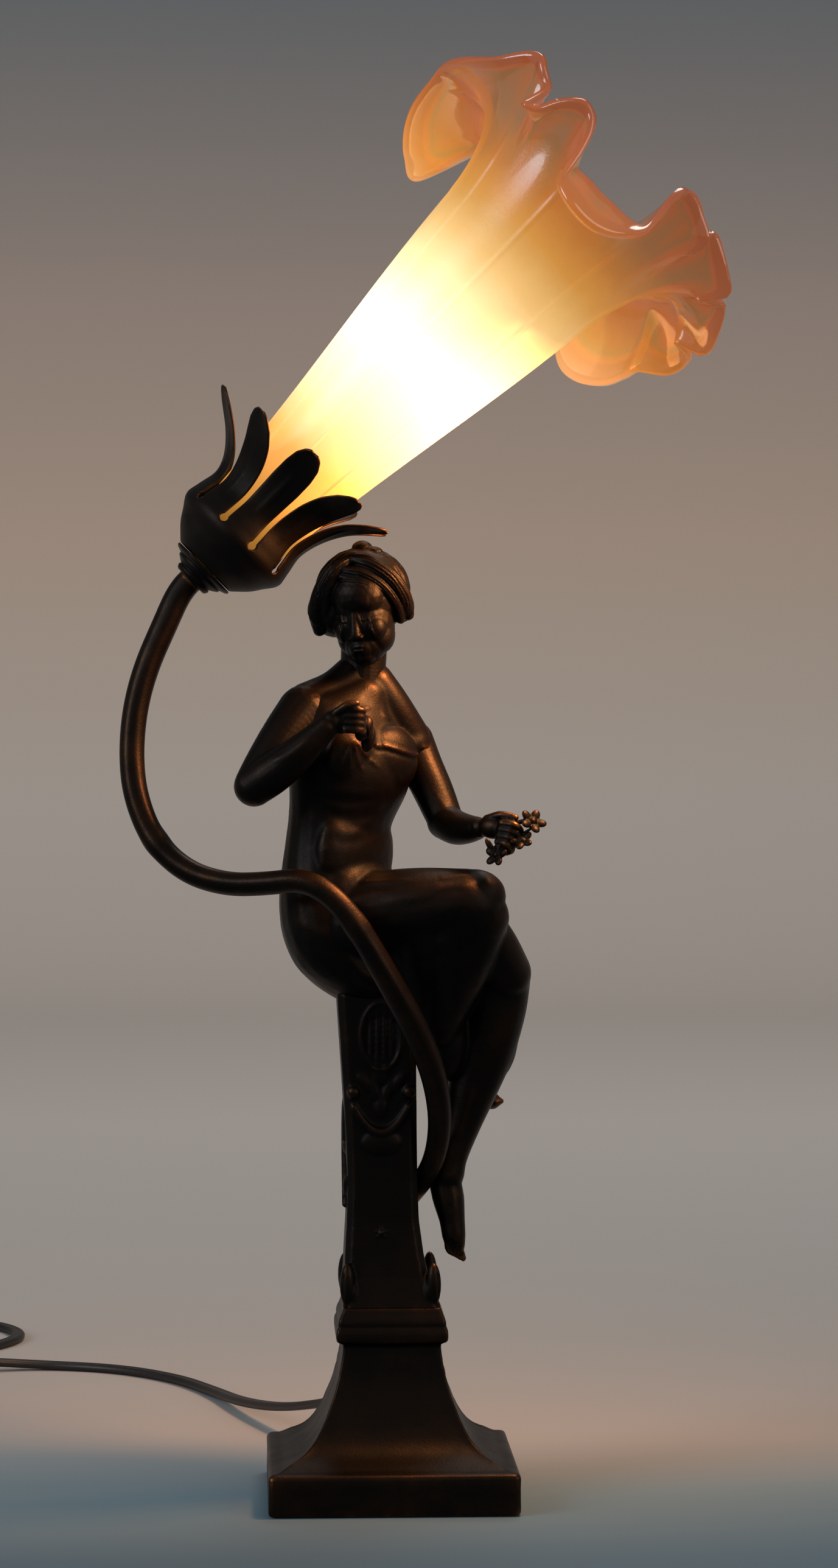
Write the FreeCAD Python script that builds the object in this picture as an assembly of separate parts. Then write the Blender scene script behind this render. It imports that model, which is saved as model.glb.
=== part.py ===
import FreeCAD, Part
import math
import os
from FreeCAD import Placement, Rotation, Vector

# Figural table lamp: a cast pedestal, a seated figure, a curved stem and a lily shade.
# Millimetres. The origin is the centre of the underside, +Z is up and the front faces -Y.

# ---------------------------------------------------------------- base casting
PLINTH_SIDE = 84.0
PLINTH_HEIGHT = 14.3
PLINTH_LIFT = 0.4
FLARE_FOOT = 37.0
NECK_HALF = 16.4
BAND_HALF = 18.9
BAND_BOTTOM = 54.5
BASE_TOP = 66.0
POST_FOOT_HALF = 16.6
CAST_WALL = 3.5
WEB = 6.0

# ---------------------------------------------------------------- post
POST_TOP = 172.0
POST_CAP = 6.0
POST_WALL = 3.0
POST_CORNER = 2.2
KNOB_RADIUS = 2.2
KNOB_HEIGHT = 139.0
SWAG_HEIGHT = 127.0
SWAG_BAR = 1.3
PANEL_CENTRE_Z = 156.0
PANEL_HALF_WIDTH = 6.2
PANEL_HALF_HEIGHT = 11.5
PANEL_DEPTH = 0.9
LEAF_THICK = 3.2
LEAF_HALF_HEIGHT = 8.5
LEAF_OUT = 13.2

# ---------------------------------------------------------------- fastening inside the pedestal
ROD_RADIUS = 2.5
ROD_X = -3.0
ROD_INTO_FIGURE = 14.0
ROD_BELOW_WEB = 9.0
NUT_ACROSS = 8.0
NUT_HEIGHT = 4.0
WASHER_RADIUS = 6.0
WASHER_THICK = 1.2
LEAD_HOLE_RADIUS = 3.6
LEAD_HOLE_AT = (7.0, 6.0)
PLATE_THICK = 1.2
FELT_THICK = 1.5
FELT_SIDE = 78.0
PLATE_CLEAR = 0.6
SCREW_RADIUS = 1.5
SCREW_HEAD_RADIUS = 2.9
SCREW_HEAD = 1.4
SCREW_LENGTH = 9.0
SCREW_AT = 30.5
BOSS_RADIUS = 4.0
BLOCK_TOP = 32.5
BLOCK_SIZE = (14.0, 12.0, 12.0)
TAIL_END_Y = 10.0
FIT = 0.1
CLEAR = 0.3
SEAT_GAP = 0.02

# ---------------------------------------------------------------- stem, calyx and shade, along a tilted axis
AXIS_START = Vector(-63.2, 0, 316.1)
AXIS_TILT = 45.5
STEM_TOP_RADIUS = 4.65
STEM_FOOT_RADIUS = 3.6
STEM_BORE_RADIUS = 2.4
STEM_LEAD_RADIUS = 2.0
COLLAR_LENGTH = 6.6
COLLAR_RADIUS = 12.0
STEM_SOCKET = 3.6
NIPPLE_RADIUS = 5.0
NIPPLE_BORE = 3.0
NIPPLE_TOP = 9.5
SHEET = 0.9
CUP_RADIUS = 22.2
CUP_SHOULDER_RADIUS = 19.2
CUP_SHOULDER = 8.8
CUP_WIDEST = 13.5
CUP_SEAT_RADIUS = 16.8
CUP_SEAT_HEIGHT = 5.2
SLOT_START = 16.0
SLOT_WIDTH = 1.7
SLOT_HOLE_RADIUS = 1.4
PETALS = 10
PETAL_WAIST_RADIUS = 20.4
WAIST_HEIGHT = 26.0
PETAL_TIP_RADIUS = 38.0
PETAL_TIP = 51.5
LOCKNUT_ACROSS = 15.0
LOCKNUT_HEIGHT = 2.6
HOLDER_RADIUS = 12.4
HOLDER_WALL = 1.2
HOLDER_CAP_BOTTOM = 4.6
HOLDER_SPLIT = 17.0
HOLDER_TOP = 48.0
INSERT_HEIGHT = 6.0
THREAD_CLEAR = 0.4
SCREW_SHELL = 1.2
CONTACT_RADIUS = 3.2
BULB_CAP_RADIUS = 6.9
BULB_CAP_BOTTOM = 26.0
BULB_CAP_LENGTH = 24.0
BULB_RADIUS = 17.5
BULB_TOP = 114.0
THREAD_TURNS = 5
THREAD_PITCH = 2.8
SHADE_NECK_BOTTOM = CUP_SEAT_HEIGHT + SHEET * 0.8 + 0.2
SHADE_NECK_RADIUS = CUP_SEAT_RADIUS - SHEET * 0.8 - CLEAR
SHADE_BODY_TOP = 150.0
SHADE_BODY_RADIUS = 33.0
SHADE_WALL = 2.0
SHADE_BEND_RADIUS = 38.0
SHADE_BEND_T = 177.0
SHADE_ROLL = 0.3
SHADE_FLARE_FROM = 0.6
SHADE_AROUND = 72
# The ruffled rim, once round: angle in degrees, radius and height on the axis.
SHADE_RIM = ((-175, 64, 178), (-162, 62, 156), (-143, 60, 146), (-129, 55, 172), (-114, 46, 194),
             (-99, 56, 174), (-80, 60, 166), (-66, 55, 181), (-47, 43, 203), (-32, 47, 202),
             (-17, 58, 194), (-4, 66, 174), (14, 63, 151), (34, 60, 145), (53, 58, 143),
             (67, 51, 168), (79, 47, 186), (92, 54, 178), (104, 51, 190), (119, 47, 198),
             (134, 52, 190), (149, 50, 198), (165, 55, 190))

# ---------------------------------------------------------------- figure
SEAT_Z = POST_TOP
TORSO_YAW_SEAT = 62.0
TORSO_YAW_CHEST = 37.0

# ---------------------------------------------------------------- cord
CORD_RADIUS = 2.8
CORD_FLOOR = 3.0
SWITCH_ENTRY = 5.2
RELIEF_LENGTH = 22.0
RELIEF_FOOT_RADIUS = 5.6
RELIEF_TIP_RADIUS = 3.9
RELIEF_NECK_RADIUS = 4.3
RELIEF_FLANGE = 1.6
RELIEF_FLANGE_Y = 25.2
RELIEF_TIP_Y = 40.0
RELIEF_X = -12.0
RELIEF_Z = 24.5
COIL_CENTRE = (-212.0, 328.0)
COIL_OUTER = 36.0
COIL_PITCH = 6.2
COIL_TURNS = 3
COIL_STEP = 1.1
TIE_ANGLE = 100.0
TIE_BAND = 0.8
TIE_WIDTH = 5.0
TIE_SLACK = 0.9
COIL_RISE = 6.2
COIL_LEAVES = 6.6
COIL_DROP = 3.3
PLUG_LENGTH = 36.0
PLUG_WIDTH = 25.0
PLUG_THICK = 13.6
PIN_RADIUS = 2.0
PIN_SPACING = 18.6
PIN_LENGTH = 19.0
PIN_TAPER = 1.5
SWITCH_WIDTH = 25.0
SWITCH_HEIGHT = 17.0
ROCKER_LENGTH = 17.0
ROCKER_WIDTH = 9.0
WELL_END_CLEAR = 1.4
WELL_SIDE_CLEAR = 0.4
ROCKER_RISE = 2.0
ROCKER_PIVOT_RADIUS = 1.2
ROCKER_HUB_RADIUS = 2.6
PIVOT_BELOW_TOP = 3.2
SWITCH_SCREW_RADIUS = 1.3
SWITCH_SCREW_HEAD = 2.6
SWITCH_SCREW_IN = 11.0

nodes = {}


def add(name, shape):
    nodes[name] = shape


def circle(centre, direction, radius):
    return Part.Wire([Part.Circle(centre, direction, radius).toShape()])


def cylinder(radius, bottom, top, x=0.0, y=0.0):
    return Part.makeCylinder(radius, top - bottom, Vector(x, y, bottom))


def turned(points):
    """A solid of revolution about Z from a closed outline of (radius, height) points."""
    outline = [Vector(radius, 0, height) for radius, height in points]
    face = Part.Face(Part.makePolygon(outline + outline[:1]))
    return face.revolve(Vector(0, 0, 0), Vector(0, 0, 1), 360)


def turned_curve(outer, inner):
    """A turned shell between two smooth outlines, each a list of (radius, height) from the bottom up."""
    outside = Part.BSplineCurve()
    outside.interpolate([Vector(radius, 0, height) for radius, height in outer])
    inside = Part.BSplineCurve()
    inside.interpolate([Vector(radius, 0, height) for radius, height in inner])
    edges = [outside.toShape(), inside.toShape()]
    for first, second in ((outer[0], inner[0]), (outer[-1], inner[-1])):
        if math.dist(first, second) > 1e-6:
            edges.append(Part.makeLine(Vector(first[0], 0, first[1]), Vector(second[0], 0, second[1])))
    face = Part.Face(Part.Wire(Part.__sortEdges__(edges)))
    return face.revolve(Vector(0, 0, 0), Vector(0, 0, 1), 360)


def hexagon(across, bottom, height):
    corner = across / math.sqrt(3)
    turns = [math.radians(60 * k) for k in range(7)]
    points = [Vector(corner * math.cos(turn), corner * math.sin(turn), bottom) for turn in turns]
    return Part.Face(Part.makePolygon(points)).extrude(Vector(0, 0, height))


def on_axis(shape):
    """Moves a piece drawn about Z onto the tilted axis of the shade."""
    moved = shape.copy()
    moved.Placement = Placement(AXIS_START, Rotation(Vector(0, 1, 0), AXIS_TILT))
    return moved


def axis_point(along):
    tilt = math.radians(AXIS_TILT)
    return AXIS_START + Vector(math.sin(tilt), 0, math.cos(tilt)) * along


# ================================================================ paths
def rounded_path(points, share=0.45):
    """Straight runs joined by tangent arcs, each as large as its two runs allow."""
    points = [Vector(*p) for p in points]
    edges = []
    radii = []
    here = points[0]
    for before, corner, after in zip(points, points[1:], points[2:]):
        into = (corner - before).normalize()
        out = (after - corner).normalize()
        turn = into.getAngle(out)
        setback = share * min(corner.distanceToPoint(before), corner.distanceToPoint(after))
        radii.append(setback / math.tan(turn / 2))
        start = corner - into * setback
        end = corner + out * setback
        towards = (out - into).normalize()
        middle = corner + towards * (radii[-1] / math.cos(turn / 2) - radii[-1])
        edges.append(Part.LineSegment(here, start).toShape())
        edges.append(Part.Arc(start, middle, end).toShape())
        here = end
    edges.append(Part.LineSegment(here, points[-1]).toShape())
    return Part.Wire(edges), radii


def arc_from(start, tangent, end):
    chord = end - start
    along = chord * (1 / chord.Length)
    side = tangent - along * tangent.dot(along)
    if side.Length < 1e-7:
        return Part.LineSegment(start, end).toShape()
    half_angle = tangent.getAngle(along)
    middle = (start + end) * 0.5 + side.normalize() * (chord.Length / 2 * math.tan(half_angle / 2))
    return Part.Arc(start, middle, end).toShape()


def biarc(start, leaving, end, arriving):
    """Two arcs that leave one point and reach another along given directions."""
    chord = end - start
    both = leaving + arriving
    spread = 2 * (1 - leaving.dot(arriving))
    lean = chord.dot(both)
    if spread < 1e-9:
        reach = chord.dot(chord) / (2 * lean)
    else:
        reach = (-lean + math.sqrt(lean * lean + spread * chord.dot(chord))) / spread
    joint = (start + end + (leaving - arriving) * reach) * 0.5
    back = arc_from(end, arriving * -1, joint)
    return [arc_from(start, leaving, joint), back]


def tube(wire, radius, end_radius=None):
    """A round tube along a wire, tapered where an end radius is given."""
    first = wire.OrderedEdges[0]
    last = wire.OrderedEdges[-1]
    start = circle(first.valueAt(first.FirstParameter), first.tangentAt(first.FirstParameter), radius)
    if end_radius is None:
        return wire.makePipeShell([start], True, False)
    finish = circle(last.valueAt(last.LastParameter), last.tangentAt(last.LastParameter), end_radius)
    return wire.makePipeShell([start, finish], True, False)


# ================================================================ pedestal
def crossed(profile):
    """A square-plan body whose four sides follow one profile of (half-width, height) lines and curves."""
    right = []
    for kind, points in profile:
        vectors = [Vector(half, 0, height) for half, height in points]
        if kind == "curve":
            curve = Part.BSplineCurve()
            curve.interpolate(vectors)
            right.append(curve.toShape())
        else:
            right += [Part.makeLine(a, b) for a, b in zip(vectors, vectors[1:])]
    left = [edge.mirror(Vector(0, 0, 0), Vector(1, 0, 0)) for edge in right]
    bottom_half, bottom = profile[0][1][0]
    top_half, top = profile[-1][1][-1]
    ends = [Part.makeLine(Vector(-half, 0, z), Vector(half, 0, z))
            for half, z in ((bottom_half, bottom), (top_half, top))]
    face = Part.Face(Part.Wire(Part.__sortEdges__(right + left + ends)))
    reach = PLINTH_SIDE
    along_y = face.copy()
    along_y.translate(Vector(0, -reach, 0))
    along_y = along_y.extrude(Vector(0, 2 * reach, 0))
    along_x = along_y.copy()
    along_x.rotate(Vector(0, 0, 0), Vector(0, 0, 1), 90)
    return along_y.common(along_x)


def casting_profile(wall, bottom, top):
    """The side of the base casting, drawn in by a wall."""
    half = PLINTH_SIDE / 2
    rise = BAND_BOTTOM - PLINTH_HEIGHT
    flare = [(FLARE_FOOT - wall, PLINTH_HEIGHT + 1.0 - wall * 0.8)]
    for share, extra in ((0.13, 12.6), (0.31, 7.3), (0.62, 2.5), (0.86, 0.6)):
        flare.append((NECK_HALF + extra - wall, PLINTH_HEIGHT + rise * share))
    flare.append((NECK_HALF - wall, BAND_BOTTOM - 2.0))
    if top < BAND_BOTTOM:
        flare[-1] = (NECK_HALF - wall, top)
    return [("line", [(half - wall, bottom), (half - wall, PLINTH_HEIGHT - 0.3 - wall)]),
            ("line", [(half - wall, PLINTH_HEIGHT - 0.3 - wall), flare[0]]),
            ("curve", flare)], flare[-1]


def base_casting():
    profile, neck = casting_profile(0.0, PLINTH_LIFT, BASE_TOP)
    profile.append(("curve", [neck,
                              (NECK_HALF + 0.7, BAND_BOTTOM - 0.5),
                              (BAND_HALF - 0.4, BAND_BOTTOM + 0.6),
                              (BAND_HALF, BAND_BOTTOM + 2.4),
                              (BAND_HALF - 0.2, BAND_BOTTOM + 5.0),
                              (POST_FOOT_HALF + 0.9, BAND_BOTTOM + 8.4),
                              (POST_FOOT_HALF, BASE_TOP)]))
    outside = crossed(profile)
    hollow_top = BASE_TOP - WEB
    inner, throat = casting_profile(CAST_WALL, PLINTH_LIFT + FELT_THICK + PLATE_THICK, hollow_top)
    inner.append(("line", [throat, (NECK_HALF - CAST_WALL, hollow_top)]))
    hollow = crossed(inner)
    recess_half = FELT_SIDE / 2 + PLATE_CLEAR
    recess = Part.makeBox(2 * recess_half, 2 * recess_half, FELT_THICK + PLATE_THICK,
                          Vector(-recess_half, -recess_half, PLINTH_LIFT))
    body = outside.cut(hollow.fuse(recess))
    seat = PLINTH_LIFT + FELT_THICK + PLATE_THICK
    for x in (-SCREW_AT, SCREW_AT):
        for y in (-SCREW_AT, SCREW_AT):
            body = body.fuse(cylinder(BOSS_RADIUS, seat, PLINTH_HEIGHT + 0.7, x, y))
            body = body.cut(cylinder(SCREW_RADIUS, seat - 1, seat + SCREW_LENGTH - PLATE_THICK, x, y))
    body = body.cut(cylinder(ROD_RADIUS + FIT, hollow_top - 1, BASE_TOP + 1, ROD_X))
    body = body.cut(cylinder(LEAD_HOLE_RADIUS, hollow_top - 1, BASE_TOP + 1, *LEAD_HOLE_AT))
    back = Vector(0, 1, 0)
    hole_from = Vector(RELIEF_X, 0, RELIEF_Z)
    exit_hole = Part.makeCylinder(RELIEF_NECK_RADIUS + FIT, PLINTH_SIDE / 2, hole_from, back)
    spot_from = Vector(RELIEF_X, RELIEF_FLANGE_Y, RELIEF_Z)
    spot_face = Part.makeCylinder(RELIEF_FOOT_RADIUS + FIT, PLINTH_SIDE / 2, spot_from, back)
    return body.cut(exit_hole).cut(spot_face)


# Height above the post's foot, then its left and right sides.
POST_SIDES = ((0.0, -POST_FOOT_HALF, POST_FOOT_HALF), (4.0, -16.4, 14.9), (10.0, -16.1, 12.4),
              (18.0, -15.8, 10.8), (29.0, -15.2, 9.3), (42.0, -14.9, 8.8), (59.0, -15.5, 8.6),
              (80.0, -16.8, 8.4), (106.0, -18.5, 8.4))


def eight_sided(left, right, back, corner, z):
    """A square section with flattened corners."""
    points = [(left + corner, -back), (right - corner, -back),
              (right, -back + corner), (right, back - corner),
              (right - corner, back), (left + corner, back),
              (left, back - corner), (left, -back + corner)]
    points = [Vector(x, y, z) for x, y in points]
    return Part.makePolygon(points + points[:1])


def post_body(wall, bottom, top):
    share = (POST_TOP - BASE_TOP) / 106.0
    sections = []
    for height, left, right in POST_SIDES:
        z = BASE_TOP + height * share
        z = min(max(z, bottom), top)
        if sections and z <= sections[-1][0] + 1e-6:
            continue
        half = (right - left) / 2 - wall
        corner = max(POST_CORNER - wall * 0.5, 0.4)
        sections.append((z, eight_sided(left + wall, right - wall, half, corner, z)))
    return Part.makeLoft([section for _, section in sections], True, False)


def post_front(z):
    """The post's front face at a height: its Y and the middle of its X."""
    share = (z - BASE_TOP) / (POST_TOP - BASE_TOP) * 106.0
    for (h0, l0, r0), (h1, l1, r1) in zip(POST_SIDES, POST_SIDES[1:]):
        if h0 <= share <= h1:
            part = (share - h0) / (h1 - h0)
            left = l0 + (l1 - l0) * part
            right = r0 + (r1 - r0) * part
            return -(right - left) / 2, (left + right) / 2
    return -13.4, -5.0


def swag(face_y, middle_x, span, drop, bar):
    ends = [Vector(middle_x - span / 2, face_y, SWAG_HEIGHT + drop),
            Vector(middle_x, face_y, SWAG_HEIGHT),
            Vector(middle_x + span / 2, face_y, SWAG_HEIGHT + drop)]
    arc = Part.Arc(*ends).toShape()
    return tube(Part.Wire([arc]), bar)


def post_casting(stem_hole):
    body = post_body(0.0, BASE_TOP, POST_TOP)
    for x_side in (-1, 1):
        for y_side in (-1, 1):
            leaf = Part.makeSphere(1.0)
            stretch = FreeCAD.Matrix()
            stretch.scale(LEAF_THICK, LEAF_THICK, LEAF_HALF_HEIGHT)
            leaf = leaf.transformGeometry(stretch)
            leaf.rotate(Vector(0, 0, 0), Vector(-y_side, x_side, 0), 12)
            leaf.translate(Vector(x_side * LEAF_OUT - 0.8, y_side * LEAF_OUT, BASE_TOP + 7.6))
            below = Part.makeBox(80, 80, 40, Vector(-40, -40, BASE_TOP - 40))
            body = body.fuse(leaf.cut(below))
    front, middle = post_front(KNOB_HEIGHT)
    for side in (-1, 1):
        knob = Part.makeSphere(KNOB_RADIUS, Vector(middle + side * (-front - 0.2), -4.0, KNOB_HEIGHT))
        body = body.fuse(knob)
    front, middle = post_front(SWAG_HEIGHT + 3)
    for face in (1, -1):
        body = body.fuse(swag(face * front, middle, 17.0, 6.5, SWAG_BAR))
    front, middle = post_front(PANEL_CENTRE_Z - 2)
    for face in (1, -1):
        oval = Part.makeSphere(1.0)
        stretch = FreeCAD.Matrix()
        stretch.scale(PANEL_HALF_WIDTH, PANEL_DEPTH, PANEL_HALF_HEIGHT)
        oval = oval.transformGeometry(stretch)
        oval.translate(Vector(middle, face * (front - 0.2), PANEL_CENTRE_Z - 1))
        body = body.fuse(oval)
    hollow = post_body(POST_WALL, BASE_TOP, POST_TOP - POST_CAP)
    body = body.cut(hollow)
    body = body.cut(cylinder(ROD_RADIUS + FIT, POST_TOP - POST_CAP - 1, POST_TOP + 1, ROD_X))
    return body.cut(stem_hole)


# ================================================================ figure
def ellipse_section(centre, yaw, roll, half_width, half_depth):
    """An ellipse across the body: yaw turns its front from -Y towards +X, roll lifts its right side."""
    ellipse = Part.Ellipse(Vector(0, 0, 0), half_width, half_depth)
    corners = [math.pi / 2 * k for k in range(5)]
    quarters = [Part.ArcOfEllipse(ellipse, a, b).toShape() for a, b in zip(corners, corners[1:])]
    wire = Part.Wire(quarters)
    wire.rotate(Vector(0, 0, 0), Vector(0, 1, 0), roll)
    wire.rotate(Vector(0, 0, 0), Vector(0, 0, 1), yaw)
    wire.translate(Vector(*centre))
    return wire


def smooth_loft(sections):
    """A closed solid through smooth sections, with its faces turned outwards."""
    solid = Part.makeLoft(sections, True, False)
    if solid.Volume < 0:
        solid.reverse()
    return solid


def limb(stations):
    """A tapering limb: a loft through circles at (x, y, z, radius), rounded at both ends."""
    points = [Vector(*station[:3]) for station in stations]
    radii = [station[3] for station in stations]
    sections = []
    start_way = (points[1] - points[0]).normalize()
    end_way = (points[-1] - points[-2]).normalize()
    for back, share in ((0.96, 0.28), (0.72, 0.70)):
        sections.append(circle(points[0] - start_way * radii[0] * back, start_way, radii[0] * share))
    for number, (point, radius) in enumerate(zip(points, radii)):
        before = points[max(number - 1, 0)]
        after = points[min(number + 1, len(points) - 1)]
        sections.append(circle(point, (after - before).normalize(), radius))
    for ahead, share in ((0.72, 0.70), (0.96, 0.28)):
        sections.append(circle(points[-1] + end_way * radii[-1] * ahead, end_way, radii[-1] * share))
    return smooth_loft(sections)


# The torso's ellipses from the seat up: centre, yaw, roll, half-width and half-depth.
TORSO = (((-5.0, 0, SEAT_Z), 90, 0, 12.8, 12.8),
         ((-9.5, 0, SEAT_Z + 4), 74, 0, 19.0, 16.0),
         ((-13.5, 0, SEAT_Z + 10), TORSO_YAW_SEAT, 0, 24.0, 18.0),
         ((-16.5, 0, 191), 60, 0, 26.0, 19.0),
         ((-18.0, 0, 201), 57, 2, 25.5, 18.6),
         ((-18.8, 0, 211), 53, 4, 22.5, 17.4),
         ((-18.6, 0, 221), 48, 6, 20.0, 16.4),
         ((-16.8, -0.5, 232), 43, 9, 20.5, 16.2),
         ((-14.4, -1.5, 244), TORSO_YAW_CHEST, 13, 23.5, 18.2),
         ((-12.9, -1.0, 254), TORSO_YAW_CHEST, 17, 26.0, 16.4),
         ((-12.0, 0, 262), TORSO_YAW_CHEST, 20, 26.5, 13.0),
         ((-10.6, 0.6, 269), TORSO_YAW_CHEST, 17, 17.5, 10.4),
         ((-9.2, 0.6, 275), TORSO_YAW_CHEST, 10, 9.8, 8.6))
# The limbs' stations: x, y, z and radius.
RIGHT_THIGH = ((-13, -10, 196, 15.5), (-2, -13, 198.5, 15.0), (10, -17, 200.5, 13.6),
               (22.5, -20.5, 201, 12.2))
RIGHT_SHIN = ((24.0, -20.0, 200.0, 12.0), (23.0, -15.0, 190, 11.5), (21.5, -7.0, 177, 10.6),
              (20.0, 3, 163, 8.6), (21.0, 11.5, 149, 6.2), (24.5, 16.5, 140, 5.0),
              (30.0, 21.0, 134, 4.2), (36.5, 25.0, 131.5, 3.2))
LEFT_THIGH = ((-12, 9, 191, 15.0), (4, 8, 187.5, 13.8), (20, 5, 182.5, 12.4), (33.5, 1.0, 176.5, 11.3))
LEFT_SHIN = ((35.5, 0.5, 175.5, 11.4), (34.4, 1.0, 166, 10.6), (31.6, 1.8, 153, 10.4),
             (28.4, 2, 141, 9.0), (24.8, 1.6, 128, 6.6), (21.6, 0.8, 116, 5.0), (20.6, 0.2, 109, 4.9))
LEFT_FOOT = ((18.6, 1.6, 107.5, 4.0), (20.4, 0, 101, 5.0), (21.4, -1.0, 94, 4.3),
             (22.8, -1.6, 88, 3.4), (24.0, -2.0, 84, 2.4))
RIGHT_ARM = ((-29.0, -13.0, 265.5, 8.2), (-35.0, -16.5, 257, 7.3), (-41.5, -20.5, 247.5, 6.7),
             (-44.0, -23.0, 242, 6.4))
RIGHT_FOREARM = ((-44.0, -23.0, 242.5, 6.2), (-37.0, -26.5, 247.5, 5.7), (-28.0, -29.0, 254.5, 4.6),
                 (-21.5, -30.0, 260.0, 3.9))
RIGHT_HAND = ((-21.0, -30.0, 260.5, 4.0), (-16.5, -28.5, 262.0, 4.9), (-12.5, -26.0, 260.0, 3.6))
LEFT_ARM = ((7.5, 13.5, 250.5, 8.0), (11.0, 10.5, 243.0, 6.7), (15.5, 5.0, 234.0, 5.9),
            (19.0, 0.0, 228.5, 5.8))
LEFT_FOREARM = ((19.0, 0.0, 228.5, 5.7), (22.0, -7.0, 227.8, 5.3), (25.5, -15.0, 227.8, 4.1),
                (28.0, -21.0, 228.3, 3.3))
LEFT_HAND = ((28.0, -21.0, 228.3, 3.4), (32.5, -25.0, 228.6, 4.0), (37.5, -28.5, 229.8, 2.5))
# Where the flowers sit: x, y, z and radius.
FLOWERS = ((43.0, -30.5, 232.0, 2.6), (38.6, -32.4, 227.4, 2.4), (33.2, -30.0, 221.8, 2.4))
STALKS_FROM = (31.5, -25.2, 227.6)
STALK_RADIUS = 0.9
FLOWER_PETALS = 5


def figure_body():
    torso = smooth_loft([ellipse_section(*section) for section in TORSO])
    pieces = [limb(stations) for stations in (RIGHT_THIGH, RIGHT_SHIN, LEFT_THIGH, LEFT_SHIN, LEFT_FOOT)]
    body = torso
    for piece in pieces:
        body = body.fuse(piece)
    socket = cylinder(ROD_RADIUS + FIT, SEAT_Z - 1, SEAT_Z + ROD_INTO_FIGURE + 1, ROD_X)
    return body.cut(socket)


HEAD_CENTRE = Vector(-7.6, -3.6, 303.5)
SKULL = (11.6, 13.6, 17.6)
HAIR = (15.4, 15.4, 14.6)
HEAD_TILT = -6.0


def scaled_ball(centre, size, tilt=0.0):
    ball = Part.makeSphere(1.0)
    stretch = FreeCAD.Matrix()
    stretch.scale(*size)
    ball = ball.transformGeometry(stretch)
    ball.rotate(Vector(0, 0, 0), Vector(0, 1, 0), tilt)
    ball.translate(centre)
    return ball


def figure_head(body):
    neck = limb(((-9.2, 0.6, 273.5, 8.6), (-8.4, 0.0, 280, 7.6), (-7.6, -0.8, 288, 7.4)))
    skull = scaled_ball(HEAD_CENTRE, SKULL, HEAD_TILT)
    hair = scaled_ball(HEAD_CENTRE + Vector(-0.4, 3.4, 5.4), HAIR, HEAD_TILT)
    roll_right = scaled_ball(HEAD_CENTRE + Vector(-12.0, 2.6, -3.0), (5.6, 8.0, 8.4), 10)
    roll_left = scaled_ball(HEAD_CENTRE + Vector(12.4, 2.6, -1.6), (6.0, 8.0, 8.8), -14)
    knot = scaled_ball(HEAD_CENTRE + Vector(-1.6, 3.0, 18.4), (3.2, 3.2, 2.3))
    head = neck.fuse(skull)
    for piece in (hair, roll_right, roll_left, knot):
        head = head.fuse(piece)
    return head.cut(body)


def figure_arm(limbs, others):
    arm = limb(limbs[0])
    for stations in limbs[1:]:
        arm = arm.fuse(limb(stations))
    for other in others:
        arm = arm.cut(other)
    return arm


def posy(hand):
    """Three small flowers in the palm, each five petals about a boss, on short stalks."""
    flowers = None
    for x, y, z, radius in FLOWERS:
        centre = Vector(x, y, z)
        bloom = Part.makeSphere(radius * 0.62, centre)
        for number in range(FLOWER_PETALS):
            angle = math.radians(360 / FLOWER_PETALS * number + 20)
            offset = Vector(math.cos(angle), -0.25, math.sin(angle)) * radius
            bloom = bloom.fuse(Part.makeSphere(radius * 0.66, centre + offset))
        stalk_from = Vector(*STALKS_FROM)
        away = centre - stalk_from
        stalk = Part.makeCylinder(STALK_RADIUS, away.Length, stalk_from, away)
        bloom = bloom.fuse(stalk)
        flowers = bloom if flowers is None else flowers.fuse(bloom)
    return flowers.cut(hand)


# ================================================================ calyx and lampholder, drawn about Z
def cup_outline(offset):
    waist = PETAL_WAIST_RADIUS - offset
    return [(COLLAR_RADIUS - 0.4 - offset, offset),
            (CUP_SEAT_RADIUS - offset * 0.8, CUP_SEAT_HEIGHT + offset * 0.8),
            (CUP_SHOULDER_RADIUS - offset * 0.9, CUP_SHOULDER + offset * 0.6),
            (CUP_RADIUS - offset, CUP_WIDEST),
            (CUP_RADIUS - 0.8 - offset, 19.0),
            (waist, WAIST_HEIGHT),
            (waist + 2.2, WAIST_HEIGHT + 8.0),
            (waist + 6.6, WAIST_HEIGHT + 15.5),
            (waist + 11.8 - offset * 0.3, WAIST_HEIGHT + 20.8 + offset * 0.5),
            (PETAL_TIP_RADIUS, PETAL_TIP + offset * 0.8)]


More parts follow.
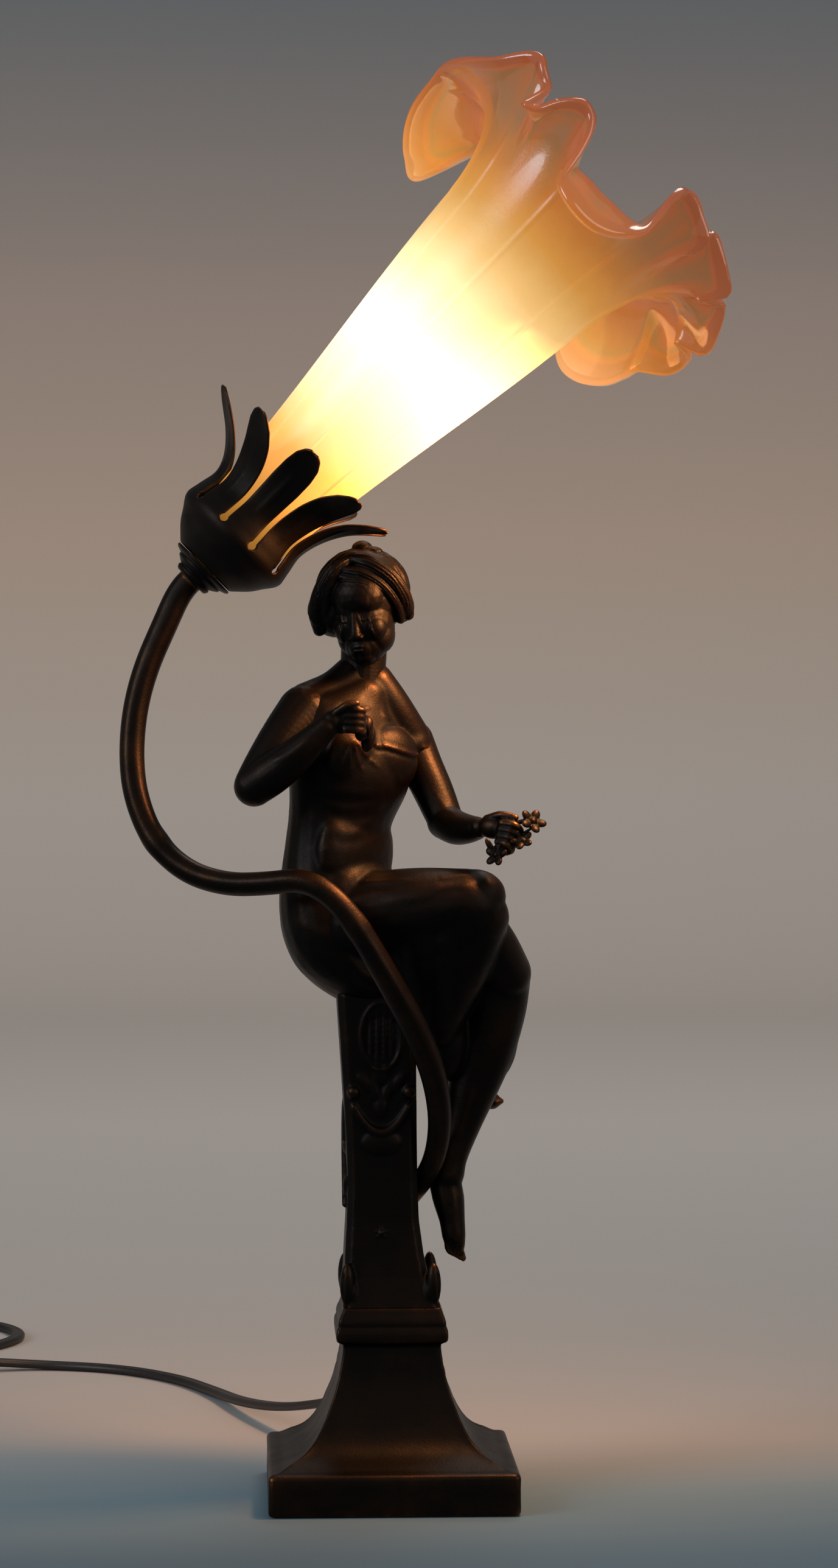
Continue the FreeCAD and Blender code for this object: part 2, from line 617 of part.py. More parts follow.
def calyx():
    shell = turned_curve(cup_outline(0.0), cup_outline(SHEET))
    floor = turned([(NIPPLE_RADIUS + FIT, 0), (COLLAR_RADIUS - 0.2, 0),
                    (COLLAR_RADIUS - 0.2 - SHEET, SHEET), (NIPPLE_RADIUS + FIT, SHEET)])
    shell = shell.fuse(floor)
    lower = shell.common(cylinder(PETAL_TIP_RADIUS + 5, -1, SLOT_START))
    sheet = shell.common(turned([(0, SLOT_START), (PETAL_TIP_RADIUS + 5, SLOT_START),
                                 (PETAL_TIP_RADIUS + 5, PETAL_TIP + 5), (0, PETAL_TIP + 5)]))
    step = 2 * math.pi / PETALS
    foot_half = CUP_RADIUS * math.tan(step / 2) - SLOT_WIDTH / 2
    half_widths = [(foot_half, SLOT_START - 0.01), (foot_half - 0.8, 24.0), (5.0, 30.0), (5.5, 38.0),
                   (5.3, 44.0), (3.8, 48.5)]
    tip = (0.0, PETAL_TIP + 1.2)
    edge = Part.BSplineCurve()
    edge.interpolate([Vector(0, half, z) for half, z in half_widths] + [Vector(0, *tip)])
    side = edge.toShape()
    other = side.mirror(Vector(0, 0, 0), Vector(0, 1, 0))
    foot = Part.makeLine(Vector(0, -foot_half, SLOT_START - 0.01),
                         Vector(0, foot_half, SLOT_START - 0.01))
    outline = Part.Face(Part.Wire(Part.__sortEdges__([side, other, foot])))
    cutter = outline.extrude(Vector(PETAL_TIP_RADIUS + 8, 0, 0))
    petal = sheet.common(cutter)
    body = lower
    for number in range(PETALS):
        turned_petal = petal.copy()
        turned_petal.rotate(Vector(0, 0, 0), Vector(0, 0, 1), math.degrees(step) * number)
        body = body.fuse(turned_petal)
    for number in range(PETALS):
        angle = step * (number + 0.5)
        way = Vector(math.cos(angle), math.sin(angle), 0)
        hole_from = way * (CUP_RADIUS - 8) + Vector(0, 0, SLOT_START - 0.6)
        hole = Part.makeCylinder(SLOT_HOLE_RADIUS, 12, hole_from, way)
        body = body.cut(hole)
    return body


def collar():
    bore = STEM_TOP_RADIUS + FIT
    body = turned_curve([(STEM_TOP_RADIUS + 1.2, -COLLAR_LENGTH),
                         (STEM_TOP_RADIUS + 2.6, -COLLAR_LENGTH + 2.2),
                         (COLLAR_RADIUS - 2.2, -2.0),
                         (COLLAR_RADIUS, 0)],
                        [(bore, -COLLAR_LENGTH), (bore, -COLLAR_LENGTH / 2), (bore, 0)])
    return body.cut(cylinder(NIPPLE_RADIUS + FIT, -COLLAR_LENGTH + STEM_SOCKET, 1))


def lampholder():
    nipple = cylinder(NIPPLE_RADIUS, -COLLAR_LENGTH + STEM_SOCKET, NIPPLE_TOP)
    add("gallery_nipple", on_axis(nipple.cut(cylinder(NIPPLE_BORE, -COLLAR_LENGTH, NIPPLE_TOP + 1))))
    locknut = hexagon(LOCKNUT_ACROSS, SHEET, LOCKNUT_HEIGHT).cut(cylinder(NIPPLE_RADIUS + FIT / 2, 0, 10))
    add("gallery_locknut", on_axis(locknut))
    inside = HOLDER_RADIUS - HOLDER_WALL
    cap = turned([(NIPPLE_RADIUS + FIT / 2, HOLDER_CAP_BOTTOM),
                  (HOLDER_RADIUS - 5.0, HOLDER_CAP_BOTTOM),
                  (HOLDER_RADIUS - 1.6, HOLDER_CAP_BOTTOM + 3.4),
                  (HOLDER_RADIUS, HOLDER_CAP_BOTTOM + 6.9),
                  (HOLDER_RADIUS, HOLDER_SPLIT),
                  (inside, HOLDER_SPLIT),
                  (inside, HOLDER_CAP_BOTTOM + 7.2),
                  (HOLDER_RADIUS - 3.0, HOLDER_CAP_BOTTOM + 4.6),
                  (HOLDER_RADIUS - 5.6, HOLDER_CAP_BOTTOM + 3.2),
                  (NIPPLE_RADIUS + FIT / 2, HOLDER_CAP_BOTTOM + 3.2)])
    add("lampholder_cap", on_axis(cap))
    sleeve = turned([(HOLDER_RADIUS, HOLDER_SPLIT),
                     (HOLDER_RADIUS, HOLDER_TOP),
                     (HOLDER_RADIUS - 2.4, HOLDER_TOP),
                     (HOLDER_RADIUS - 2.4, HOLDER_TOP - 1.6),
                     (inside, HOLDER_TOP - 3.0),
                     (inside, HOLDER_SPLIT)])
    add("lampholder_sleeve", on_axis(sleeve))
    base = HOLDER_SPLIT + 1.0
    insert = cylinder(inside - FIT, base, base + INSERT_HEIGHT)
    insert = insert.cut(cylinder(CONTACT_RADIUS + FIT, base - 1, base + 30))
    shell_inside = BULB_CAP_RADIUS + THREAD_CLEAR
    shell_outside = shell_inside + SCREW_SHELL
    shell = turned([(shell_inside, base + INSERT_HEIGHT),
                    (inside - FIT, base + INSERT_HEIGHT),
                    (inside - FIT, base + INSERT_HEIGHT + 2.0),
                    (shell_outside, base + INSERT_HEIGHT + 3.2),
                    (shell_outside, HOLDER_TOP - 8),
                    (shell_inside, HOLDER_TOP - 8)])
    add("lampholder_insert", on_axis(insert.fuse(shell)))
    contact = cylinder(CONTACT_RADIUS, base, base + INSERT_HEIGHT).fuse(
        cylinder(CONTACT_RADIUS - 0.9, base, BULB_CAP_BOTTOM - CLEAR))
    add("centre_contact", on_axis(contact))


def bulb():
    cap_top = BULB_CAP_BOTTOM + BULB_CAP_LENGTH
    threads = [(0, BULB_CAP_BOTTOM), (2.2, BULB_CAP_BOTTOM), (4.6, BULB_CAP_BOTTOM + 2.4)]
    z = BULB_CAP_BOTTOM + 3.0
    for _ in range(THREAD_TURNS):
        threads += [(BULB_CAP_RADIUS - 0.7, z), (BULB_CAP_RADIUS, z + THREAD_PITCH / 2)]
        z += THREAD_PITCH
    threads += [(BULB_CAP_RADIUS - 0.5, z), (BULB_CAP_RADIUS - 0.1, cap_top), (0, cap_top)]
    add("bulb_cap", on_axis(turned(threads)))
    neck = BULB_CAP_RADIUS - 0.3
    rise = BULB_TOP - cap_top
    outer = [(neck, cap_top),
             (neck + 2.0, cap_top + rise * 0.094),
             (BULB_RADIUS * 0.766, cap_top + rise * 0.234),
             (BULB_RADIUS, cap_top + rise * 0.453),
             (BULB_RADIUS * 0.909, cap_top + rise * 0.641),
             (BULB_RADIUS * 0.58, cap_top + rise * 0.898),
             (BULB_RADIUS * 0.206, cap_top + rise * 0.986),
             (0.0, BULB_TOP)]
    curve = Part.BSplineCurve()
    curve.interpolate([Vector(radius, 0, height) for radius, height in outer])
    edges = [curve.toShape(), Part.makeLine(Vector(0, 0, BULB_TOP), Vector(0, 0, cap_top)),
             Part.makeLine(Vector(0, 0, cap_top), Vector(neck, 0, cap_top))]
    face = Part.Face(Part.Wire(Part.__sortEdges__(edges)))
    add("bulb_glass", on_axis(face.revolve(Vector(0, 0, 0), Vector(0, 0, 1), 360)))


# ================================================================ lily shade
def between(before, start, end, after, share):
    """A smooth step from one value to the next, which keeps the slope of its neighbours."""
    first = end - before
    last = after - start
    rise = end - start
    return start + share * (first / 2 + share * ((3 * rise - first - last / 2)
                                                 + share * ((first + last) / 2 - 2 * rise)))


def rim_point(angle):
    """Radius and height of the rim at an angle."""
    count = len(SHADE_RIM)
    degrees = math.degrees(angle)
    while degrees < SHADE_RIM[0][0]:
        degrees += 360
    while degrees >= SHADE_RIM[0][0] + 360:
        degrees -= 360
    number = max(k for k in range(count) if SHADE_RIM[k][0] <= degrees)
    start = SHADE_RIM[number]
    end = SHADE_RIM[(number + 1) % count]
    before = SHADE_RIM[number - 1]
    after = SHADE_RIM[(number + 2) % count]
    share = (degrees - start[0]) / ((end[0] - start[0]) % 360)
    radius, height = [between(before[k], start[k], end[k], after[k], share) for k in (1, 2)]
    return radius, height


def shade_point(share, angle):
    """A point of the shade's outside: share 0 is the neck and 1 the ruffled rim."""
    if share <= SHADE_FLARE_FROM:
        part = share / SHADE_FLARE_FROM
        height = SHADE_NECK_BOTTOM + (SHADE_BODY_TOP - SHADE_NECK_BOTTOM) * part
        grow = (1 - math.cos(math.pi * min(max((height - 14.0) / 150.0, 0), 1))) / 2
        straight = min(max((height - 14.0) / (SHADE_BODY_TOP - 14.0), 0), 1)
        swell = 0.55 * straight + 0.45 * grow
        radius = SHADE_NECK_RADIUS + (SHADE_BODY_RADIUS - SHADE_NECK_RADIUS) * swell
        return radius, height
    part = (share - SHADE_FLARE_FROM) / (1 - SHADE_FLARE_FROM)
    rim_radius, rim_height = rim_point(angle)
    bend_height = SHADE_BEND_T + SHADE_ROLL * (SHADE_BEND_T - rim_height)
    weights = ((1 - part) ** 2, 2 * part * (1 - part), part ** 2)
    radii = (SHADE_BODY_RADIUS, SHADE_BEND_RADIUS, rim_radius)
    heights = (SHADE_BODY_TOP, bend_height, rim_height)
    radius = sum(weight * value for weight, value in zip(weights, radii))
    height = sum(weight * value for weight, value in zip(weights, heights))
    return radius, height


def shade_vector(share, angle, inward):
    """A point of the shade's wall, moved inwards square to the surface."""
    def place(s, a):
        radius, height = shade_point(s, a)
        return Vector(radius * math.cos(a), radius * math.sin(a), height)
    here = place(share, angle)
    if not inward:
        return here
    tiny = 1e-3
    low = max(share - tiny, 0.0)
    high = min(share + tiny, 1.0)
    along = place(high, angle) - place(low, angle)
    around = place(share, angle + tiny) - place(share, angle - tiny)
    if share == 0.0:
        return here + Vector(-math.cos(angle), -math.sin(angle), 0) * inward
    return here + along.cross(around).normalize() * inward


def shade_ring(share, inward):
    points = [shade_vector(share, 2 * math.pi * k / SHADE_AROUND, inward) for k in range(SHADE_AROUND)]
    turns = [k / SHADE_AROUND for k in range(SHADE_AROUND + 1)]
    curve = Part.BSplineCurve()
    curve.interpolate(Points=points, PeriodicFlag=True, Parameters=turns)
    return curve.toShape()


def glass_shade():
    shares = [0.0, 0.06, 0.15, 0.25, 0.35, 0.45, 0.54, 0.62, 0.70, 0.78, 0.86, 0.93, 1.0]
    outer = [shade_ring(share, 0.0) for share in shares]
    inner = [shade_ring(share, SHADE_WALL) for share in shares]
    faces = Part.makeLoft([Part.Wire([e]) for e in outer], False, False).Faces
    faces += Part.makeLoft([Part.Wire([e]) for e in inner], False, False).Faces
    faces.append(Part.makeRuledSurface(outer[0], inner[0]))
    faces.append(Part.makeRuledSurface(outer[-1], inner[-1]))
    shell = Part.Compound(faces)
    shell.sewShape()
    closed = Part.Solid(shell.Shells[0])
    if closed.Volume < 0:
        closed.reverse()
    return closed


# ================================================================ cord, switch and plug
LEAD_ROUTE = ((RELIEF_X, RELIEF_TIP_Y, RELIEF_Z), (RELIEF_X, 53.0, RELIEF_Z), (-20.0, 76.0, 18.0),
              (-36.0, 112.0, 10.4), (-50.5, 153.0, 6.0), (-61.0, 193.0, 3.4),
              (-76.0, 227.0, CORD_FLOOR), (-100.0, 252.0, CORD_FLOOR), (-130.0, 262.5, CORD_FLOOR),
              (-158.63, 255.72, SWITCH_ENTRY), (-176.0, 251.0, SWITCH_ENTRY))
LOOP_ROUTE = ((-232.0, 235.79, SWITCH_ENTRY), (-249.37, 231.07, SWITCH_ENTRY),
              (-272.0, 238.0, CORD_FLOOR), (-290.0, 258.0, CORD_FLOOR), (-297.0, 291.0, CORD_FLOOR),
              (-291.0, 327.0, CORD_FLOOR), (-267.0, 362.0, CORD_FLOOR), (-230.0, 383.0, CORD_FLOOR),
              (-190.0, 388.0, CORD_FLOOR), (-157.0, 371.0, CORD_FLOOR), (-142.0, 339.0, CORD_FLOOR),
              (-155.0, 306.0, CORD_FLOOR), (-181.0, 292.0, CORD_FLOOR), (-206.0, 292.0, CORD_FLOOR))


def eased(share):
    """0 up to 0, 1 from 1 on, and a smooth step between them."""
    share = min(max(share, 0.0), 1.0)
    return share * share * (3 - 2 * share)


def coil_point(turn):
    """A point of the wound coil: in for COIL_TURNS turns, then out again one wire higher."""
    if turn <= COIL_TURNS:
        radius = COIL_OUTER - COIL_PITCH * turn
    else:
        radius = COIL_OUTER - COIL_PITCH * (2 * COIL_TURNS - turn)
    leave = max((turn - (2 * COIL_TURNS - 0.5)) / 0.5, 0.0)
    radius += COIL_LEAVES * leave * leave
    height = CORD_FLOOR + COIL_STEP * eased(turn / 0.4)
    height += COIL_RISE * eased((turn - (COIL_TURNS - 0.25)) / 0.5)
    height -= COIL_DROP * eased((turn - (2 * COIL_TURNS - 0.11)) / 0.11)
    angle = -math.pi / 2 - 2 * math.pi * turn
    return Vector(COIL_CENTRE[0] + radius * math.cos(angle), COIL_CENTRE[1] + radius * math.sin(angle),
                  height)


def coil_direction(turn, whole):
    tiny = 1e-4
    if turn < tiny:
        return Vector(-1, 0, 0)
    low = max(turn - tiny, 0.0)
    high = min(turn + tiny, whole)
    return (coil_point(high) - coil_point(low)).normalize()


def coil_path():
    whole = 2 * COIL_TURNS
    stops = [quarter / 4 for quarter in range(4 * whole)]
    stops += [whole - sixteenth / 16 for sixteenth in (3, 2, 1, 0)]
    diameter = 2 * CORD_RADIUS
    edges = [Part.LineSegment(Vector(*LOOP_ROUTE[-1]), coil_point(0)).toShape()]
    for start, end in zip(stops, stops[1:]):
        leaving = coil_direction(start, whole)
        arriving = coil_direction(end, whole)
        edges += biarc(coil_point(start), leaving, coil_point(end), arriving)
    end_way = coil_direction(whole, whole)
    end_way = Vector(end_way.x, end_way.y, 0).normalize()
    leaving = coil_direction(stops[-2], whole)
    edges[-2:] = biarc(coil_point(stops[-2]), leaving, coil_point(whole), end_way)
    finish = coil_point(whole) + end_way * (diameter + 0.2)
    edges.append(Part.LineSegment(coil_point(whole), finish).toShape())
    return Part.Wire(Part.__sortEdges__(edges)), finish, end_way


def least_self_gap(wire, diameter):
    """The least clear space between stretches of a wound tube, measured on points along it."""
    points = wire.discretize(Distance=2.0)
    length_between = wire.Length / (len(points) - 1)
    skip = int(math.pi * diameter / length_between) + 1
    least = 1e9
    for first in range(len(points)):
        for second in range(first + skip, len(points)):
            least = min(least, points[first].distanceToPoint(points[second]))
    return least - diameter


def rounded_box(length, width, bottom, top, corner):
    """A box along X with rounded upright corners."""
    body = Part.makeBox(length, width, top - bottom, Vector(-length / 2, -width / 2, bottom))
    return body.makeFillet(corner, [e for e in body.Edges if abs(e.tangentAt(e.FirstParameter).z) > 0.99])


def placed(shape, at, towards):
    """Turns a piece drawn along +X to face a level direction, and moves it."""
    moved = shape.copy()
    angle = math.degrees(math.atan2(towards.y, towards.x))
    moved.Placement = Placement(Vector(*at), Rotation(Vector(0, 0, 1), angle))
    return moved


def inline_switch():
    start = Vector(*LEAD_ROUTE[-1])
    end = Vector(*LOOP_ROUTE[0])
    way = end - start
    middle = (start + end) * 0.5
    length = way.Length - 2 * SEAT_GAP
    way = Vector(way.x, way.y, 0).normalize()
    split = SWITCH_HEIGHT * 0.5
    lower = rounded_box(length, SWITCH_WIDTH, 0.2, split, 8.0)
    upper = rounded_box(length, SWITCH_WIDTH, split, SWITCH_HEIGHT, 8.0)
    upper = upper.makeFillet(3.0, [e for e in upper.Edges if e.BoundBox.ZMin > SWITCH_HEIGHT - 0.01])
    well_length = ROCKER_LENGTH + 2 * WELL_END_CLEAR
    well_width = ROCKER_WIDTH + 2 * WELL_SIDE_CLEAR
    well = Part.makeBox(well_length, well_width, SWITCH_HEIGHT,
                        Vector(-well_length / 2, -well_width / 2, split + 1.0))
    pin_z = SWITCH_HEIGHT - PIVOT_BELOW_TOP
    pin = Part.makeCylinder(ROCKER_PIVOT_RADIUS, ROCKER_WIDTH + 3.0,
                            Vector(0, -ROCKER_WIDTH / 2 - 1.5, pin_z), Vector(0, 1, 0))
    socket = Part.makeCylinder(ROCKER_PIVOT_RADIUS + FIT, ROCKER_WIDTH + 3.4,
                               Vector(0, -ROCKER_WIDTH / 2 - 1.7, pin_z), Vector(0, 1, 0))
    upper = upper.cut(well).cut(socket)
    half = ROCKER_LENGTH / 2
    top = SWITCH_HEIGHT
    slope = ROCKER_RISE
    outline = [Vector(-half, 0, top - 2.6),
               Vector(half, 0, top - 2.6),
               Vector(half, 0, top + slope),
               Vector(0, 0, top - 0.4),
               Vector(-half, 0, top - 0.2),
               Vector(-half, 0, top - 2.6)]
    rocker = Part.Face(Part.makePolygon(outline)).extrude(Vector(0, ROCKER_WIDTH, 0))
    rocker.translate(Vector(0, -ROCKER_WIDTH / 2, 0))
    hub = Part.makeCylinder(ROCKER_HUB_RADIUS, ROCKER_WIDTH, Vector(0, -ROCKER_WIDTH / 2, pin_z),
                            Vector(0, 1, 0))
    rocker = rocker.fuse(hub).fuse(pin)
    screws = []
    seat = 1.8
    for x in (-length / 2 + SWITCH_SCREW_IN, length / 2 - SWITCH_SCREW_IN):
        lower = lower.cut(cylinder(SWITCH_SCREW_RADIUS + FIT, -1, split + 1, x))
        lower = lower.cut(cylinder(SWITCH_SCREW_HEAD + FIT, -1, seat, x))
        upper = upper.cut(cylinder(SWITCH_SCREW_RADIUS + FIT, split - 1, split + 4.5, x))
        shank = cylinder(SWITCH_SCREW_RADIUS, seat, split + 4.0, x)
        screws.append(shank.fuse(cylinder(SWITCH_SCREW_HEAD, 0.4, seat, x)))
    at = (middle.x, middle.y, 0)
    add("switch_lower", placed(lower, at, way))
    add("switch_upper", placed(upper, at, way))
    add("switch_rocker", placed(rocker, at, way))
    add("switch_screws", placed(Part.Compound(screws), at, way))
    side = Vector(-way.y, way.x, 0)
    pivot = Vector(middle.x, middle.y, pin_z)
    print("rocker pivot", tuple(round(v, 3) for v in pivot), "axis", tuple(round(v, 5) for v in side))


def plug(at, way):
    neck = RELIEF_LENGTH * 0.6
    along = Vector(1, 0, 0)
    sleeve = Part.makeCone(CORD_RADIUS + 1.0, CORD_RADIUS + 2.6, neck, Vector(0, 0, 0), along)
    sections = []
    for x, width, thick in ((neck, PLUG_WIDTH * 0.4, PLUG_THICK * 0.66),
                            (neck + PLUG_LENGTH * 0.22, PLUG_WIDTH * 0.64, PLUG_THICK * 0.85),
                            (neck + PLUG_LENGTH * 0.5, PLUG_WIDTH, PLUG_THICK),
                            (neck + PLUG_LENGTH, PLUG_WIDTH, PLUG_THICK)):
        chamfer = thick * 0.28
        corners = [(width / 2 - chamfer, thick / 2), (width / 2, thick / 2 - chamfer)]
        corners += [(y, -z) for y, z in reversed(corners)]
        corners += [(-y, -z) for y, z in corners]
        points = [Vector(x, y, z) for y, z in corners]
        sections.append(Part.makePolygon(points + points[:1]))
    body = Part.makeLoft(sections, True, True).fuse(sleeve)
    pins = []
    for y in (-PIN_SPACING / 2, PIN_SPACING / 2):
        root = Vector(neck + PLUG_LENGTH, y, 0)
        pin = Part.makeCylinder(PIN_RADIUS, PIN_LENGTH - PIN_TAPER, root, along)
        tip_from = root + Vector(PIN_LENGTH - PIN_TAPER, 0, 0)
        tip = Part.makeCone(PIN_RADIUS, PIN_RADIUS * 0.55, PIN_TAPER, tip_from, along)
        pins.append(pin.fuse(tip))
    add("plug_body", placed(body, at, way))
    add("plug_pins", placed(Part.Compound(pins), at, way))


def cords():
    lead, lead_radii = rounded_path(LEAD_ROUTE)
    loop, loop_radii = rounded_path(LOOP_ROUTE)
    wound, finish, way = coil_path()
    for name, wire in (("cord_lead", lead), ("cord_loop", loop), ("cord_coil", wound)):
        shape = tube(wire, CORD_RADIUS)
        expected = math.pi * CORD_RADIUS ** 2 * wire.Length
        print(name, "length", round(wire.Length, 1), "volume ratio", round(shape.Volume / expected, 4))
        add(name, shape)
    print("lead radii", [round(radius) for radius in lead_radii])
    print("loop radii", [round(radius) for radius in loop_radii])
    print("coil least self gap", round(least_self_gap(wound, 2 * CORD_RADIUS), 2))
    plug((finish.x, finish.y, finish.z), way)
    inner = COIL_OUTER - COIL_PITCH * COIL_TURNS - CORD_RADIUS - TIE_SLACK
    outer = COIL_OUTER + CORD_RADIUS + TIE_SLACK
    top = CORD_FLOOR + COIL_STEP + COIL_RISE + CORD_RADIUS + 0.5
    frame = Part.makeBox(outer - inner + 2 * TIE_BAND, TIE_WIDTH, top + TIE_BAND - 0.2,
                         Vector(inner - TIE_BAND, -TIE_WIDTH / 2, 0.2))
    gap = Part.makeBox(outer - inner, 2 * TIE_WIDTH, top - 0.2 - TIE_BAND,
                       Vector(inner, -TIE_WIDTH, 0.2 + TIE_BAND))
    tie = frame.cut(gap)
    tie.rotate(Vector(0, 0, 0), Vector(0, 0, 1), TIE_ANGLE)
    tie.translate(Vector(COIL_CENTRE[0], COIL_CENTRE[1], 0))
    add("cord_tie", tie)


def relief():
    bore = CORD_RADIUS
    foot = RELIEF_TIP_Y - RELIEF_LENGTH
    body = turned([(bore, foot),
                   (RELIEF_NECK_RADIUS, foot),
                   (RELIEF_NECK_RADIUS, RELIEF_FLANGE_Y),
                   (RELIEF_FOOT_RADIUS, RELIEF_FLANGE_Y),
                   (RELIEF_FOOT_RADIUS, RELIEF_FLANGE_Y + RELIEF_FLANGE),
                   (RELIEF_TIP_RADIUS, RELIEF_TIP_Y),
                   (bore, RELIEF_TIP_Y)])
    body.rotate(Vector(0, 0, 0), Vector(1, 0, 0), -90)
    body.translate(Vector(RELIEF_X, 0, RELIEF_Z))
    return body


# ================================================================ stem
STEM_ROUTE = [(-76.5, -0.6, 296.6), (-82.9, -1.6, 282.2), (-86.8, -3.4, 267.6), (-88.0, -5.6, 252.0),
              (-86.4, -8.6, 238.0), (-80.4, -12.4, 223.6), (-69.4, -17.4, 213.4), (-55.6, -23.6, 209.4),
              (-42.0, -29.6, 210.0), (-30.4, -33.8, 211.6), (-20.6, -36.4, 206.4), (-11.4, -37.0, 194.8),
              (-1.6, -34.6, 177.8), (7.0, -29.0, 162.4), (13.4, -22.6, 147.0), (16.3, -16.6, 132.0),
              (15.6, -10.0, 119.0), (12.4, -4.6, 109.6), (4.0, 2.4, 98.4)]


def stem_path():
    top = axis_point(-COLLAR_LENGTH + STEM_SOCKET)
    below = axis_point(-COLLAR_LENGTH - 5.0)
    route = [tuple(top), tuple(below)] + STEM_ROUTE
    return rounded_path(route)


def pedestal_and_stem():
    path, radii = stem_path()
    print("stem length", round(path.Length, 1), "radii", [round(radius) for radius in radii])
    outside = tube(path, STEM_TOP_RADIUS, STEM_FOOT_RADIUS)
    bore = tube(path, STEM_BORE_RADIUS)
    stem = outside.cut(bore)
    add("stem_tube", stem)
    foot = Vector(*STEM_ROUTE[-1])
    before = Vector(*STEM_ROUTE[-2])
    way = (before - foot).normalize()
    hole = tube(path, STEM_TOP_RADIUS + FIT, STEM_FOOT_RADIUS + FIT)
    add("base_casting", base_casting())
    add("post_casting", post_casting(hole))
    inner_end = foot - way * 5.5
    hole_x, hole_y = LEAD_HOLE_AT
    lead_points = [tuple(axis_point(NIPPLE_TOP + 2.0)), tuple(axis_point(-COLLAR_LENGTH - 5.0))]
    lead_points += STEM_ROUTE[:-1]
    lead_points += [tuple(inner_end), (hole_x - 4.0, hole_y, BASE_TOP + 14.0),
                    (hole_x, hole_y, BASE_TOP + 3), (hole_x, hole_y - 0.4, BASE_TOP - 14),
                    (3.0, 4.6, 43.0), (-6.0, 4.0, 41.0), (-6.0, 4.0, BLOCK_TOP)]
    lead_path, _ = rounded_path(lead_points)
    add("stem_lead", tube(lead_path, STEM_LEAD_RADIUS))


def hidden_fastenings():
    web_bottom = BASE_TOP - WEB
    low = web_bottom - ROD_BELOW_WEB
    add("tie_rod", cylinder(ROD_RADIUS, low, SEAT_Z + ROD_INTO_FIGURE, ROD_X))
    washer = cylinder(WASHER_RADIUS, web_bottom - WASHER_THICK, web_bottom, ROD_X)
    add("tie_washer", washer.cut(cylinder(ROD_RADIUS + FIT, low, web_bottom + 1, ROD_X)))
    nut = hexagon(NUT_ACROSS, web_bottom - WASHER_THICK - NUT_HEIGHT, NUT_HEIGHT)
    nut.translate(Vector(ROD_X, 0, 0))
    add("tie_nut", nut.cut(cylinder(ROD_RADIUS + FIT / 2, low - 1, web_bottom + 1, ROD_X)))
    plate_bottom = PLINTH_LIFT + FELT_THICK
    half = FELT_SIDE / 2
    plate = Part.makeBox(FELT_SIDE, FELT_SIDE, PLATE_THICK, Vector(-half, -half, plate_bottom))
    felt = Part.makeBox(FELT_SIDE, FELT_SIDE, plate_bottom, Vector(-half, -half, 0))
    screws = []
    for x in (-SCREW_AT, SCREW_AT):
        for y in (-SCREW_AT, SCREW_AT):
            plate = plate.cut(cylinder(SCREW_RADIUS + FIT, 0, 10, x, y))
            felt = felt.cut(cylinder(SCREW_HEAD_RADIUS + CLEAR, -1, 10, x, y))
            shank = cylinder(SCREW_RADIUS - FIT / 2, plate_bottom, plate_bottom + SCREW_LENGTH, x, y)
            head = cylinder(SCREW_HEAD_RADIUS, plate_bottom - SCREW_HEAD, plate_bottom, x, y)
            screws.append(shank.fuse(head))
    add("bottom_plate", plate)
    add("base_felt", felt)
    add("plate_screws", Part.Compound(screws))
    block = Part.makeBox(BLOCK_SIZE[0], BLOCK_SIZE[1], BLOCK_SIZE[2],
                         Vector(RELIEF_X - 4, TAIL_END_Y - BLOCK_SIZE[1], BLOCK_TOP - BLOCK_SIZE[2]))
    add("terminal_block", block)
    inside = Part.LineSegment(Vector(RELIEF_X, RELIEF_TIP_Y, RELIEF_Z),
                              Vector(RELIEF_X, TAIL_END_Y, RELIEF_Z))
    add("cord_tail", tube(Part.Wire([inside.toShape()]), CORD_RADIUS))
    add("cord_relief", relief())


pedestal_and_stem()
hidden_fastenings()

add("figure_body", figure_body())
add("figure_head", figure_head(nodes["figure_body"]))
add("figure_right_arm", figure_arm((RIGHT_ARM, RIGHT_FOREARM, RIGHT_HAND), [nodes["figure_body"]]))
add("figure_left_arm", figure_arm((LEFT_ARM, LEFT_FOREARM, LEFT_HAND), [nodes["figure_body"]]))
add("posy", posy(nodes["figure_left_arm"]))

add("stem_collar", on_axis(collar()))
add("calyx", on_axis(calyx()))
lampholder()
bulb()
add("glass_shade", on_axis(glass_shade()))

inline_switch()
cords()

os.makedirs("parts", exist_ok=True)
for name, shape in nodes.items():
    shape.exportStep(f"parts/{name}.step")
    print(name, "solids", len(shape.Solids), "volume", round(shape.Volume, 1), "valid", shape.isValid())
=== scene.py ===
# %% [markdown]
# # A figural table lamp
# The lamp is a cast bronze pedestal with a seated figure, a bowed stem, a sheet-bronze
# flower cup and a blown lily shade. A measured model of it already exists, with one
# solid for each part that a workshop would make. This scene dresses that model: it adds
# the sculpted surfaces, the finishes, the light and the camera, and keeps every size.

# %% Load the measured model
import math

import bmesh
import bpy
import numpy as np
from mathutils import Matrix, Vector
from mathutils.bvhtree import BVHTree


